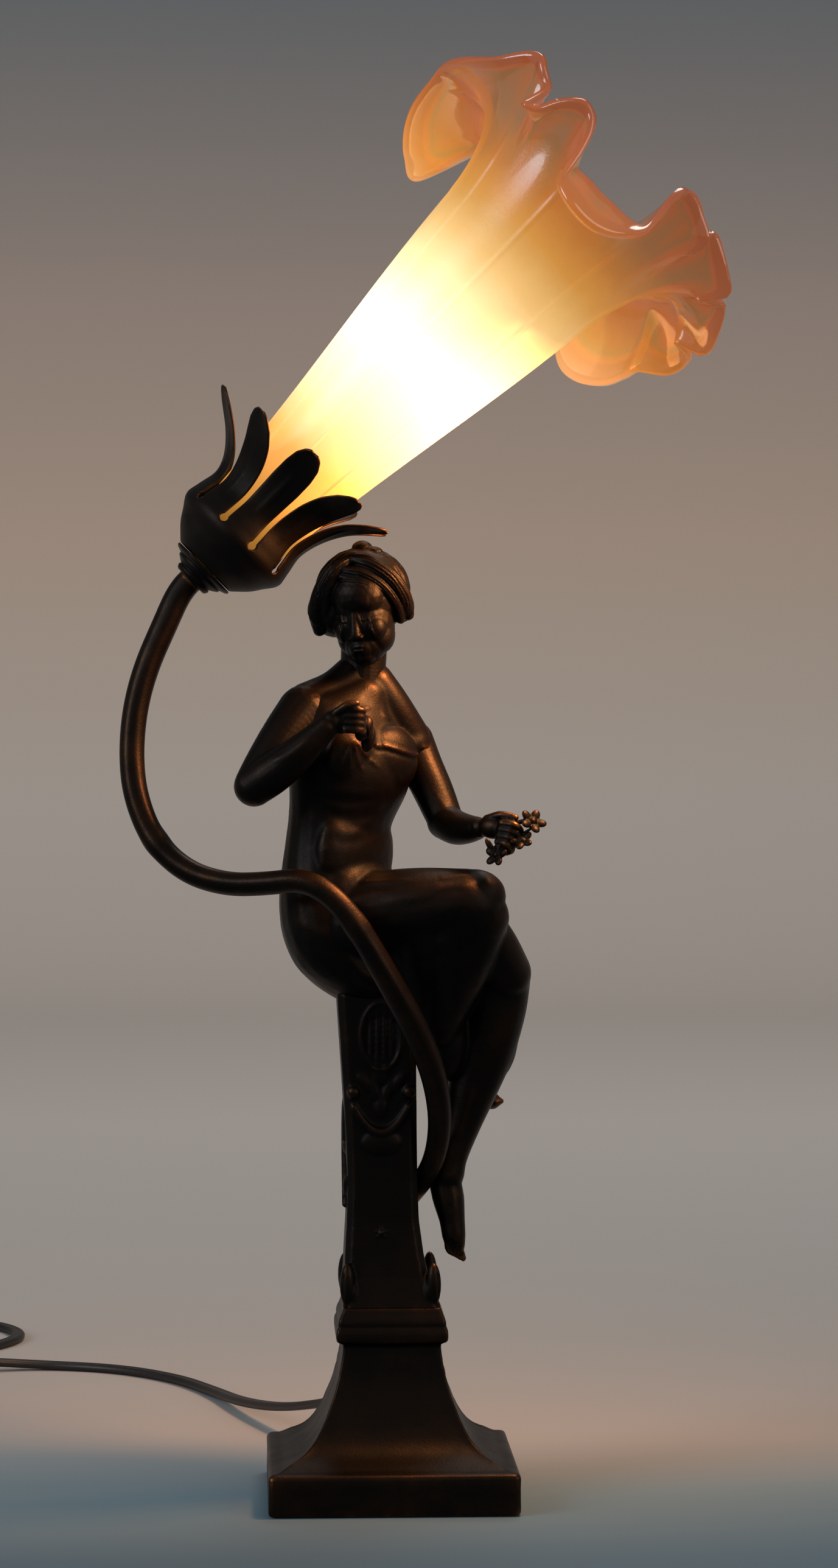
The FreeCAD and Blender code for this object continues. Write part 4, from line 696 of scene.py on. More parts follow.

# %% [markdown]
# ## Glass
# The glass is amber soda glass with a frosted, iridised skin: amber at the neck, and peach
# to copper on the ruffles, where it is thin enough for the grey of the room to show
# through it. Its base colour also turns pale in the middle of the body, which is painted
# light of the bulb shining through. The colour follows the distance along the shade's
# own tilted line, found with a dot product, and the folds of the rim turn copper by their
# bend. The lit bulb is drawn as light given off by the glass, most in the middle of the
# body, so it stays right from every side.

# %% Glass finish
glass, tree, shader, where = new_finish("iridised_amber_glass")
from_neck = node_out(tree, 'VectorMath', {0: where, 1: NECK_AT * MM}, operation='SUBTRACT')
height_on = node_out(tree, 'VectorMath', {0: from_neck, 1: (math.sin(TILT), 0.0, math.cos(TILT))},
                     "Value", operation='DOT_PRODUCT')
mottle = noise(tree, where, 55.0, 6.0, 0.65)
place = sums(tree, 'MULTIPLY_ADD', mottle, 0.04, from_to(tree, height_on, 0.0, 0.2))
place = sums(tree, 'SUBTRACT', place, 0.02)
# Amber at the neck and copper near the rim; the pale band in the middle is painted light of the
# bulb shining through.
body_tint_and_painted_glow = ramp(tree, place, [(0.10, "B9762A"), (0.26, "E0AE5A"), (0.48, "F3E2B0"),
                               (0.64, "D2B072"), (0.75, "A6773E"), (0.84, "B5622F"),
                               (0.95, "C2602F")])
folded = sums(tree, 'ABSOLUTE', sums(tree, 'SUBTRACT', noted(tree, "wear"), 0.5))
share = noted(tree, "edge")
copper = sums(tree, 'MULTIPLY_ADD', folded, 3.4, from_to(tree, share, 0.97, 0.995, 0.0, 0.4),
              use_clamp=True)
rim_tint = ramp(tree, copper, [(0.03, "7E6646"), (0.16, "A5602E"), (0.4, "C0521F"),
                               (0.8, "9C3510")])
on_rim = from_to(tree, share, 0.66, 0.84)
lit = ramp(tree, place, [(0.03, "2C1805"), (0.13, "A87A34"), (0.25, "D69A52"), (0.36, "F9CCA6"),
                         (0.44, "FFE4C4"), (0.50, "FFF3DC"), (0.60, "E0CFA4"), (0.69, "C0A066"),
                         (0.77, "A67835"), (0.83, "8A5C26"), (0.90, "70492A"), (0.98, "663F24")])
scratch = noise(tree, where, 900.0, 3.0)
frost = from_to(tree, scratch, 0.0, 1.0, 0.26, 0.42)
skin = sums(tree, 'MULTIPLY_ADD', mottle, 3.0, scratch)
fill(tree, shader, {
    "Base Color": node_out(tree, 'Mix', {0: on_rim, 6: body_tint_and_painted_glow, 7: rim_tint}, 2,
                           data_type='RGBA'),
    "Emission Color": lit, "Emission Strength": 1.15, "Normal": bumped(tree, skin, 0.10, 0.0005),
    "Roughness": sums(tree, 'MULTIPLY_ADD', on_rim, -0.18, frost), "IOR": 1.5,
    "Transmission Weight": from_to(tree, on_rim, 0.0, 1.0, 0.22, 0.5),
    "Coat Weight": on_rim, "Coat Roughness": 0.07})
finish_mesh("lily_shade", shade_mesh, glass, "shade", ("glass_shade",))

# %% [markdown]
# ## The flower cup
# The cup is spun from sheet and sawn into ten petals. A round hole is drilled at the
# root of every saw cut, so that the sheet doesn't tear there when the petals are bent.
# The petals narrow to straps, end in a soft point and lean out further on the upper
# side, where the shade's weight has opened them. One petal is a grid over a tenth of
# the turn; ten of them meet below the cuts.

# %% Cup of ten petals
PETALS = 10
SHEET = 0.9
cup_line = flowing([(0.0, 11.6), (1.4, 13.0), (5.2, 16.8), (8.8, 19.2), (13.5, 22.2), (19.0, 21.5),
                    (26.0, 20.4), (34.0, 22.6), (41.5, 27.0), (46.8, 32.2), (51.5, 38.0)], 12)
strap_line = np.array([(15.2, 7.0), (20.0, 6.2), (26.0, 5.5), (31.0, 5.7), (38.0, 6.1),
                       (44.0, 6.0), (48.0, 5.2), (50.4, 3.5), (51.4, 1.6), (51.8, 0.05)])
HOLE_AT = 16.2
HOLE_RADIUS = 1.4
HALF_CUT = 0.85


def petal_half(height, radius):
    """Half of a petal's angle at a height: a tenth of the turn less its share of the cut."""
    whole = math.pi / PETALS
    sawn = 0.0
    if height > HOLE_AT - HOLE_RADIUS:
        sawn = math.sqrt(max(HOLE_RADIUS ** 2 - (height - HOLE_AT) ** 2, 0.0))
    if height > HOLE_AT:
        sawn = max(sawn, HALF_CUT)
    strap = np.interp(height, strap_line[:, 0], strap_line[:, 1])
    narrowed = math.asin(min(strap / radius, 0.95)) if height > 18.5 else whole
    return min(whole - math.asin(min(sawn / radius, 0.9)), narrowed)


bm = bmesh.new()
rows = np.concatenate([np.linspace(0, 14.6, 14), np.linspace(14.9, 17.6, 10),
                       np.linspace(18.2, 46.0, 26), np.linspace(46.8, 51.5, 12)])
ACROSS = 10
for number in range(PETALS):
    centre_angle = 2 * math.pi * (number + 0.5) / PETALS
    leaning_up = max(-math.cos(centre_angle), 0.0)
    grid = []
    for height in rows:
        radius = float(np.interp(height, cup_line[:, 0], cup_line[:, 1]))
        half = petal_half(height, radius)
        lean = eased((height - 24.0) / 28.0)
        row = []
        for column in range(ACROSS + 1):
            across = 2 * column / ACROSS - 1
            angle = centre_angle + half * across
            # A sheet petal is slightly hollow across and its middle is beaten up a little.
            dish = 0.9 * lean * (1 - across * across)
            out = radius + lean * (4.0 * leaning_up - 0.8) - dish
            up = height - lean * 4.6 * leaning_up + 0.5 * lean * math.cos(3 * centre_angle)
            row.append(bm.verts.new((out * math.cos(angle), out * math.sin(angle), up)))
        grid.append(row)
    skin_rings(bm, grid, capped=False, all_round=False)
cup_mesh = mesh_from(bm)
turned_out(cup_mesh, 0)
cup_mesh = changed(cup_mesh, ('SOLIDIFY', {"thickness": SHEET, "offset": -1.0}),
                   ('SUBSURF', {"levels": 1}))
ribs = []
for number in range(PETALS):
    angle = 2 * math.pi * (number + 0.5) / PETALS
    ribs.append(([(r * math.cos(angle), r * math.sin(angle), t)
                  for t, r in ((22, 20.9), (32, 21.5), (44, 28.5))], 1.3, 0.35))
sculpt(cup_mesh, ribs)
note_wear(cup_mesh, rounds=2, gain=1.2)
cup_mesh.transform(TILTED)
finish_mesh("flower_cup", cup_mesh, sheet_bronze, "lamp", ("calyx",))

# %% [markdown]
# ## Turned pieces and the stem
# The collar is turned, so its outline is spun about the shade's axis: a rounded foot,
# two fine grooves and a bead under the cup. The stem is a drawn tube that was filed to
# look grown. Its line is bent through the same places as the tube in the model, and
# its section has seven shallow ridges that wander a little as they climb.

# %% Collar and stem
collar_outline = [(4.75, -6.6), (5.9, -6.6), (6.5, -6.2), (6.9, -5.5), (7.0, -4.9), (6.6, -4.5),
                  (7.6, -3.9), (8.8, -3.1), (9.4, -2.5), (9.2, -2.1), (10.2, -1.7), (11.3, -1.3),
                  (11.9, -0.8), (12.0, -0.4), (11.8, -0.05), (4.75, -0.05)]
bm = bmesh.new()
verts = [bm.verts.new((radius, 0.0, height)) for radius, height in collar_outline]
edges = [bm.edges.new((a, b)) for a, b in zip(verts, verts[1:] + verts[:1])]
bmesh.ops.spin(bm, geom=verts + edges, cent=(0, 0, 0), axis=(0, 0, 1), angle=2 * math.pi,
               steps=64, use_merge=True)
collar_mesh = mesh_from(bm)
note_wear(collar_mesh, rounds=1)
collar_mesh.transform(TILTED)
finish_mesh("stem_collar_turned", collar_mesh, cast_bronze, "lamp", ("stem_collar",))


def bowed(points, steps):
    """A smooth line that leaves each corner between the middles of its two runs."""
    points = [np.array(p, dtype=float) for p in points]
    out = [points[0]]
    for before, corner, after in zip(points, points[1:], points[2:]):
        start = (before + corner) / 2
        end = (corner + after) / 2
        for t in np.linspace(0, 1, steps, endpoint=False):
            out.append(start * (1 - t) ** 2 + 2 * corner * t * (1 - t) + end * t ** 2)
    out.append(points[-1])
    return np.array(out)


STEM_ROUTE = [(-65.34, 0.0, 314.0), (-71.5, 0.0, 308.0), (-76.5, -0.6, 296.6),
              (-82.9, -1.6, 282.2), (-86.8, -3.4, 267.6), (-88.0, -5.6, 252.0),
              (-86.4, -8.6, 238.0), (-80.4, -12.4, 223.6), (-69.4, -17.4, 213.4),
              (-55.6, -23.6, 209.4), (-42.0, -29.6, 210.0), (-30.4, -33.8, 211.6),
              (-20.6, -36.4, 206.4), (-11.4, -37.0, 194.8), (-1.6, -34.6, 177.8),
              (7.0, -29.0, 162.4), (13.4, -22.6, 147.0), (16.3, -16.6, 132.0),
              (15.6, -10.0, 119.0), (12.4, -4.6, 109.6), (4.0, 2.4, 98.4)]


def swept(line, radius_at, sides):
    """A tube along a line; radius_at(share, angle) gives its outside."""
    bm = bmesh.new()
    line = [Vector(p) for p in line]
    run = np.concatenate([[0.0], np.cumsum([(b - a).length for a, b in zip(line, line[1:])])])
    run /= run[-1]
    rings = []
    side = None
    for number, point in enumerate(line):
        ahead = line[min(number + 1, len(line) - 1)]
        behind = line[max(number - 1, 0)]
        way = (ahead - behind).normalized()
        if side is None:
            side = way.orthogonal().normalized()
        side = (side - way * side.dot(way)).normalized()
        other = way.cross(side)
        ring = []
        for k in range(sides):
            angle = 2 * math.pi * k / sides
            radius = radius_at(float(run[number]), angle)
            out = side * math.cos(angle) + other * math.sin(angle)
            ring.append(bm.verts.new(point + out * radius))
        rings.append(ring)
    skin_rings(bm, rings)
    return mesh_from(bm)


def stem_radius(share, angle):
    plain = 4.65 - 1.05 * share + 0.8 * math.exp(-((share - 0.76) / 0.14) ** 2)
    ridges = 0.05 * math.cos(7 * angle + 9 * share) + 0.05 * math.cos(3 * angle - 21 * share)
    joints = sum(0.28 * math.exp(-((share - at) / 0.012) ** 2) for at in (0.335, 0.61))
    return plain - 0.18 + ridges + joints


stem_mesh = swept(bowed(STEM_ROUTE, 14), stem_radius, 42)
note_wear(stem_mesh, rounds=2)
finish_mesh("stem", stem_mesh, cast_bronze, "lamp", ("stem_tube",))

# %% [markdown]
# ## The pedestal
# The base casting is square in plan. Its four sides follow one outline: a plinth, a
# hollow flare and a band. Each ring of points is a square with rounded corners, and
# the rings are joined upwards. The arrises are drawn a little proud, as a founder
# leaves them, and the band's edge sags slightly between the corners.

# %% Base casting
def squared_ring(bm, half, z, corner, per_side=36, lift=None):
    """A square ring with rounded corners; lift(place along the side) can move a point up."""
    ring = []
    flat = half - corner
    outline = []
    for k in range(per_side):
        outline.append((half, -flat + 2 * flat * k / per_side))
    for k in range(5):
        angle = math.pi / 2 * k / 5
        outline.append((flat + corner * math.cos(angle), flat + corner * math.sin(angle)))
    for quarter in range(4):
        turn = Matrix.Rotation(math.pi / 2 * quarter, 2)
        for x, y in outline:
            moved = turn @ Vector((x, y))
            rise = lift(y / half) if lift else 0.0
            ring.append(bm.verts.new((moved.x, moved.y, z + rise)))
    return ring


def sag(place):
    return -0.5 * (1 - min(abs(place), 1.0) ** 2)


flare = flowing([(15.2, 37.0), (19.6, 29.0), (26.8, 23.7), (39.3, 18.9), (48.9, 17.0),
                 (52.6, 16.5)], 9)
rings = [(39.6, 3.0, 1.0), (39.6, 0.9, 1.0), (40.2, 0.5, 1.2), (41.3, 0.45, 1.6), (41.8, 0.9, 1.8),
         (42.0, 1.8, 1.9), (41.95, 5.0, 1.9), (41.9, 9.0, 1.9), (42.0, 12.4, 1.9),
         (41.8, 13.3, 1.8), (41.3, 13.9, 1.6), (40.6, 14.25, 1.4), (39.0, 14.5, 1.2),
         (37.8, 14.8, 1.0)]
rings += [(half, height, 0.8) for height, half in flare]
rings += [(16.6, 53.6, 0.8, 36, sag), (17.3, 54.1, 0.8, 36, sag), (18.2, 54.5, 0.9, 36, sag),
          (18.75, 55.1, 1.0, 36, sag), (18.9, 56.0, 1.0, 36, sag), (18.9, 57.4, 1.0, 36, sag),
          (18.75, 58.6, 1.0), (18.3, 59.4, 1.0), (18.15, 60.0, 1.0), (18.25, 60.6, 1.0),
          (18.1, 61.6, 1.0), (17.8, 62.6, 1.0), (17.3, 63.6, 1.0), (16.9, 64.6, 1.0),
          (16.6, 65.6, 1.0), (16.3, 66.0, 1.0), (12.0, 66.0, 0.8)]
bm = bmesh.new()
skin_rings(bm, [squared_ring(bm, *spec) for spec in rings])
base_mesh = mesh_from(bm)
arris = []
for x_side in (-1, 1):
    for y_side in (-1, 1):
        arris.append(([(x_side * h, y_side * h, z)
                       for z, h in ((16.0, 36.0), (20.5, 28.2), (30.0, 22.2), (50.0, 16.9))],
                      0.9, 0.32, 0.1))
nick = [((17.2, -14.0, 50.0), (18.2, -15.5, 48.0), (17.6, -17.4, 46.6)), 0.8, -0.5]
sculpt(base_mesh, arris + [nick])
note_wear(base_mesh, rounds=2, gain=0.9)
bm = bmesh.new()
# The cord's relief seats on a flat that is milled into the back of the flare.
SPOT_RADIUS = 5.7
from_behind = Matrix.Translation((-12.0, 45.2, 24.5)) @ Matrix.Rotation(math.pi / 2, 4, 'X')
bmesh.ops.create_cone(bm, cap_ends=True, segments=48, radius1=SPOT_RADIUS, radius2=SPOT_RADIUS,
                      depth=40.0, matrix=from_behind)
spot_face = placed("spot_face", drawn(bm))
base_mesh = changed(base_mesh, ('BOOLEAN', {"operation": 'DIFFERENCE', "object": spot_face}))
bpy.data.objects.remove(spot_face)
finish_mesh("pedestal_base", base_mesh, cast_bronze, "lamp", ("base_casting",))

# %% [markdown]
# ## The post and its relief
# The post leans out to the left as it rises. Its ornaments are modelled as clay ones
# are: rolls for the swag and the scroll, pressed ovals for leaves, and a fluted oval
# panel above. They are melted into the post and then veined with strokes.

# %% Post
POST_FOOT = 66.0
POST_TOP = 172.0
PANEL_AT = 157.5
POST_SIDES = np.array([(0.0, -16.6, 16.6), (4.0, -16.4, 14.9), (10.0, -16.1, 12.4),
                       (18.0, -15.8, 10.8), (29.0, -15.2, 9.3), (42.0, -14.9, 8.8),
                       (59.0, -15.5, 8.6), (80.0, -16.8, 8.4), (106.0, -18.5, 8.4)])


def post_at(z):
    """The post's left and right side at a height."""
    above = z - POST_FOOT
    return [float(np.interp(above, POST_SIDES[:, 0], POST_SIDES[:, side])) for side in (1, 2)]


CHAMFER = 2.2
bm = bmesh.new()
rings = []
for z in np.linspace(POST_FOOT, POST_TOP, 54):
    left, right = post_at(z)
    half = (right - left) / 2
    corners = [(left + CHAMFER, -half), (right - CHAMFER, -half), (right, -half + CHAMFER),
               (right, half - CHAMFER), (right - CHAMFER, half), (left + CHAMFER, half),
               (left, half - CHAMFER), (left, -half + CHAMFER)]
    rings.append([bm.verts.new((x, y, z)) for x, y in corners])
skin_rings(bm, rings)
post_shapes = [mesh_from(bm)]
post_strokes = []
for face in (-1, 1):
    left, right = post_at(128.0)
    middle = (left + right) / 2
    y = face * (right - left) / 2
    # The swag, its two knots and the shallow bowl under it.
    post_shapes.append(limb([(middle + 9.2 * s, y, 133.5 - 8.5 * (1 - s * s), 1.75 - 0.5 * abs(s))
                             for s in np.linspace(-1, 1, 9)]))
    post_shapes.append(eggs([((middle + side * 9.4, y, 138.6), (2.3, 2.0, 2.3)) for side in (-1,
                                                                                             1)]
                            + [((middle, y, 121.6), (6.6, 1.1, 4.2))]))
    # Leaves that rise from the swag towards the panel.
    leaves = []
    for side in (-1, 1):
        for reach, height, lean in ((2.2, 139.0, 18), (5.6, 142.0, 38), (1.2, 145.0, 8)):
            leaves.append(((middle + side * reach, y, height), (1.9, 1.2, 4.6),
                           turned_by(0, side * lean)))
    leaves.append(((middle, y, 134.0), (2.4, 1.3, 4.4)))
    # The fluted oval panel.
    post_shapes.append(eggs(leaves + [((middle, y, PANEL_AT), (6.6, 1.3, 11.2))]))
    for number in range(-2, 3):
        x = middle + 2.3 * number
        tall = 9.4 * math.sqrt(max(1 - (number / 3.0) ** 2, 0.1))
        flute = [(x, y, PANEL_AT + part * tall) for part in (-1, 0, 1)]
        post_strokes.append((flute, 0.75, -0.55, 0.2))
    post_strokes.append(([(middle + 6.9 * math.cos(a), y, PANEL_AT + 11.4 * math.sin(a))
                          for a in np.linspace(0, 2 * math.pi, 25)], 0.8, 0.6, 0.0))
    # The small cast mark low on the face.
    for number in range(5):
        a = 2 * math.pi * number / 5 + math.pi / 2
        tip = (middle + 1.7 * math.cos(a), y, 91.0 + 1.7 * math.sin(a))
        post_strokes.append((((middle, y, 91.0), tip), 0.5, 0.4, 0.0))
for x_side in (-1, 1):
    for y_side in (-1, 1):
        left, right = post_at(73.0)
        x = left + 1.2 if x_side < 0 else right + 0.4
        y = y_side * ((right - left) / 2 - 0.6)
        post_shapes.append(eggs([((x, y, 73.5), (2.6, 2.6, 7.6)),
                                 ((x - x_side * 1.6, y, 70.6), (2.0, 2.0, 5.0)),
                                 ((x, y - y_side * 1.6, 70.6), (2.0, 2.0, 5.0))]))
        post_strokes.append((((x + x_side * 3, y + y_side * 3, 68.0),
                              (x + x_side * 3, y + y_side * 3, 79.0)), 0.6, -0.5))
# A leafy scroll climbs the left face.
post_shapes.append(limb([(-15.6, y, z, 1.25) for y, z in (
    (-6, 100), (-2, 108), (3, 116), (4, 126), (-1, 133), (-6, 128), (-4, 122))]))
leaves = []
for y, z, lean in ((-6.5, 106, 30), (1.5, 104, -40), (7, 118, -30), (-1.5, 120, 40), (6, 132, -20),
                   (-7, 139, 10)):
    leaves.append(((-15.4, y, z), (1.2, 2.0, 4.4), turned_by(0, 0, lean)))
    dy = -3.4 * math.sin(math.radians(lean))
    dz = 3.4 * math.cos(math.radians(lean))
    post_strokes.append((((-17, y - dy, z - dz), (-17, y + dy, z + dz)), 0.45, -0.4))
post_shapes.append(eggs(leaves))
cast_piece("pedestal_post", "post_casting", post_shapes, 0.5, 3, post_strokes, 0.55)

# %% [markdown]
# ## The seated figure
# The figure wears a thin slip and sits turned to the right, with the chest turned back
# to the front. The torso is a tower of flattened balls whose width, depth, turn and
# tilt are given from the seat to the shoulders; the limbs are runs of balls. Small balls
# add the breasts, belly, hips, knees, calves and toes before everything is melted.

# %% Body
TORSO = [(-5.0, 0, 172.0, 90, 0, 12.8, 12.8), (-9.5, 0, 176.0, 74, 0, 19.0, 16.0),
         (-13.5, 0, 182.0, 62, 0, 23.4, 17.6), (-16.5, 0, 191.0, 60, 0, 25.2, 18.4),
         (-18.0, 0, 201.0, 57, 2, 24.6, 18.0), (-18.8, 0, 211.0, 53, 4, 21.8, 16.8),
         (-18.6, 0, 221.0, 48, 6, 19.4, 15.8), (-16.8, -0.5, 232.0, 43, 9, 19.9, 15.6),
         (-14.4, -1.5, 244.0, 37, 13, 22.6, 17.0), (-12.9, -1.0, 254.0, 37, 17, 24.6, 15.4),
         (-12.0, 0, 262.0, 37, 20, 24.0, 12.2), (-10.6, 0.6, 268.0, 37, 17, 16.0, 9.8),
         (-9.2, 0.6, 273.0, 37, 10, 9.2, 8.2)]
RIGHT_THIGH = [(-13, -10, 196, 15.2), (-2, -13, 199, 14.7), (10, -17, 201.5, 13.3),
               (24.5, -20.5, 203, 11.6)]
RIGHT_SHIN = [(25.5, -20.0, 202.0, 12.2), (23.5, -15.0, 190, 11.2), (21.5, -7.0, 177, 10.2),
              (20.0, 3, 163, 8.6), (21.0, 11.5, 149, 6.2), (24.5, 16.5, 140, 4.8),
              (30.0, 21.0, 134, 4.2), (36.2, 24.6, 131.8, 3.2)]
LEFT_THIGH = [(-12, 9, 191, 14.8), (4, 8, 187.5, 13.5), (20, 5, 182.5, 12.1),
              (34.5, 1.0, 176.5, 11.2)]
LEFT_SHIN = [(36.5, 0.5, 175.0, 11.4), (35.6, 1.0, 166, 11.0), (32.6, 1.8, 153, 10.4),
             (28.9, 2, 141, 9.0), (24.8, 1.6, 128, 7.0), (20.8, 0.8, 116, 5.9),
             (19.6, 0.2, 109, 5.7)]
LEFT_FOOT = [(18.8, 1.0, 106.0, 5.6), (19.8, 0, 101, 5.5), (21.0, -1.0, 94, 4.5),
             (21.6, -1.6, 88.5, 4.1), (22.6, -1.8, 85.0, 3.0)]

chest = turned_by(37, 15)
masses = [((-0.6, -5.6, 251.0), (12.0, 5.6, 11.6), chest),
          ((-12.6, -13.6, 252.4), (12.4, 5.5, 12.0), chest),
          ((-12.4, -6.6, 219.5), (18.0, 7.6, 20.0), turned_by(46, 6)),
          ((-10.4, -6.6, 205.0), (18.0, 8.8, 15.0), turned_by(52, 0)),
          ((-14.0, 14.0, 184.0), (13.5, 11.0, 12.0)), ((27.6, -21.0, 205.2), (10.6, 9.0, 9.2)),
          ((38.0, -1.2, 175.0), (9.6, 9.6, 9.0)), ((34.4, 3.0, 157.0), (9.6, 9.6, 17.0)),
          ((-12.0, 2.0, 269.5), (16.5, 8.4, 6.2), turned_by(37, 17)),
          ((-10.0, 10.0, 250.0), (15.0, 8.0, 14.0), turned_by(37, 10)),
          ((-28.5, -8.0, 267.5), (9.4, 8.6, 8.8)),
          ((6.2, 9.0, 256.4), (9.0, 8.6, 7.6), turned_by(0, 20)),
          ((22.0, 14.0, 141.0), (3.6, 3.6, 4.0))]
# The neck's root spreads to both shoulders.
yoke = [limb([(-12.0, 2.0, 280.0, 7.0), (-19.0, -1.0, 273.6, 7.6), (-28.5, -7.0, 268.4, 8.6)]),
        limb([(-5.5, 3.0, 277.0, 7.0), (0.0, 5.0, 268.6, 7.4), (6.5, 9.0, 257.6, 7.8)])]
toes = [((19.4 + 1.3 * k, -3.4 + 0.6 * k, 84.6 - 0.75 * k), (1.25, 1.3, 2.7), turned_by(0, -14))
        for k in range(5)]
toes += [((38.4 - 0.4 * k, 22.6 + 1.5 * k, 131.8 - 0.3 * k), (2.7, 1.2, 1.3), turned_by(36))
         for k in range(4)]
# The slip's skirt: thin cloth over both legs that hangs between them and the post.
skirt = [((8.0, -6.0, 196.5), (18.0, 11.5, 13.5), turned_by(-20, 8)),
         ((20.0, -8.0, 192.0), (14.0, 10.0, 15.5)),
         ((14.0, -18.5, 206.0), (15.0, 9.0, 8.4), turned_by(-20, 0)),
         ((29.0, -4.0, 184.0), (10.6, 9.5, 12.0)), ((15.5, -3.0, 171.0), (10.0, 11.0, 16.0)),
         ((19.0, -2.0, 156.0), (8.0, 9.5, 15.0)), ((2.0, -8.0, 184.0), (14.0, 12.0, 12.0))]
skirt_drapes = [limb(line) for line in (
    [(28.0, -14.0, 195.0, 9.6), (33.5, -9.0, 187.0, 9.8), (38.0, -3.0, 178.0, 10.0)],
    [(29.0, -19.0, 198.0, 10.4), (24.5, -15.5, 184.0, 10.0), (19.0, -10.5, 169.0, 8.2),
     (16.4, -7.4, 159.0, 6.4)],
    [(20.0, -18.0, 197.0, 11.4), (17.4, -14.4, 182.0, 10.8), (15.6, -9.6, 166.0, 8.6)],
    [(11.0, -16.6, 197.0, 12.0), (11.6, -13.2, 183.0, 11.2), (13.0, -9.0, 169.0, 9.0)])]

folds = []
# Light folds under the bust and at the waist, longer ones from the lap to the knees.
for start, middle, end, width, height in (
        ((-26, -13, 243), (-14, -19, 240), (1, -14, 239), 1.4, 0.45),
        ((-25, -13, 238), (-12, -20, 234), (4, -12, 235), 1.2, 0.4),
        ((-26, -12, 229), (-14, -20, 227), (2, -14, 230), 1.3, 0.4),
        ((-29, -12, 209), (-18, -21, 203), (-6, -22, 204), 1.5, 0.55),
        ((-31, -11, 199), (-20, -20, 192), (-8, -24, 192), 1.6, 0.5),
        ((3, -14, 247), (7, -10, 238), (4, -10, 226), 1.2, 0.4),
        ((-6, -26, 204), (6, -28, 206), (20, -32, 211), 1.5, 0.5),
        ((-6, -26, 196), (10, -27, 198), (24, -31, 204), 1.5, 0.45),
        ((-4, -22, 187), (10, -22, 188), (26, -24, 195), 1.5, 0.5),
        ((-14, -18, 211), (-4, -24, 212), (8, -28, 213), 1.2, 0.6),
        ((14, -28, 213), (20, -28, 214), (27, -26, 213), 1.0, 0.45),
        ((12, -30, 208), (19, -31, 210), (26, -31, 209), 1.0, 0.35),
        ((30, -28, 200), (28, -22, 186), (25, -14, 170), 1.8, 0.6),
        ((36, -20, 200), (35, -14, 186), (31, -10, 168), 1.8, 0.5),
        ((16, -22, 186), (17, -16, 170), (19, -12, 152), 1.7, 0.5),
        ((-20, 14, 240), (-8, 20, 232), (6, 14, 226), 1.4, 0.6),
        ((-26, 12, 224), (-14, 20, 216), (2, 18, 210), 1.4, 0.6),
        ((-30, 12, 204), (-18, 22, 196), (0, 20, 192), 1.6, 0.7),
        ((-28, 16, 190), (-12, 26, 184), (6, 20, 180), 1.5, 0.7),
        ((-24, 14, 250), (-12, 17, 246), (4, 14, 244), 1.2, 0.5)):
    folds.append(((start, middle, end), 1.5 * width, 0.45 * height))
    folds.append(([(x, y, z - 2.8 * width) for x, y, z in (start, middle, end)],
                  1.4 * width, -0.3 * height))
# Pleats that fan out from the fist over the chest.
for x, z in ((-2, 249), (4, 246), (-7, 244), (-13, 242), (-19, 243)):
    folds.append((((-11.5, -24, 260.5), ((x - 12) / 2, -24, (z + 261) / 2), (x, -22, z)), 0.9, 0.3,
                  0.4))
neckline = ((-9.5, -20, 261.0), (-3.0, -20, 258.4), (2.4, -17, 256.2), (8.0, -10, 253.6),
            (13.0, -4, 253.2), (16.0, 4, 255.0), (15.0, 13, 256.5))
folds += [(neckline, 1.0, 0.42, 0.1), ([(x, y, z - 1.9) for x, y, z in neckline], 0.9, -0.3, 0.1),
          (((-24, -10, 262), (-27, -5, 268), (-26, 2, 270), (-24, 9, 266)), 1.1, 0.4, 0.1)]
# Collar bones, the shin line and the partings between the toes.
folds += [(((-4, -12, 270), (-10, -13, 269), (-18, -13, 270)), 1.0, 0.3),
          (((-1, -10, 268), (3, -6, 265), (7, -2, 262)), 1.0, 0.3),
          (((29, -8, 142), (26, -7, 132), (22, -5, 120)), 1.6, 0.35),
          (((19, -5, 108), (19.6, -5.4, 102), (20.4, -5, 96)), 1.0, -0.35)]
for k in range(4):
    folds.append((((20.0 + 1.3 * k, -6, 88.0 - 0.7 * k), (20.6 + 1.3 * k, -6, 83.0 - 0.7 * k)),
                  0.4, -0.5, 0.2))
limbs = [limb(stations) for stations in (RIGHT_THIGH, RIGHT_SHIN, LEFT_THIGH, LEFT_SHIN,
                                         LEFT_FOOT)]
clay = [tower(TORSO, 9, 7.0)] + limbs + yoke + skirt_drapes + [eggs(masses), eggs(toes),
                                                               eggs(skirt)]
cast_piece("seated_figure", "figure_body", clay, 0.68, 9, folds, 0.7)

# %% [markdown]
# ## The arms and hands
# One fist gathers the slip at the chest. The other hand lies palm up with its fingers
# lightly curled and holds a small posy. Fingers are short runs of balls, three bones
# each, from the knuckles on.

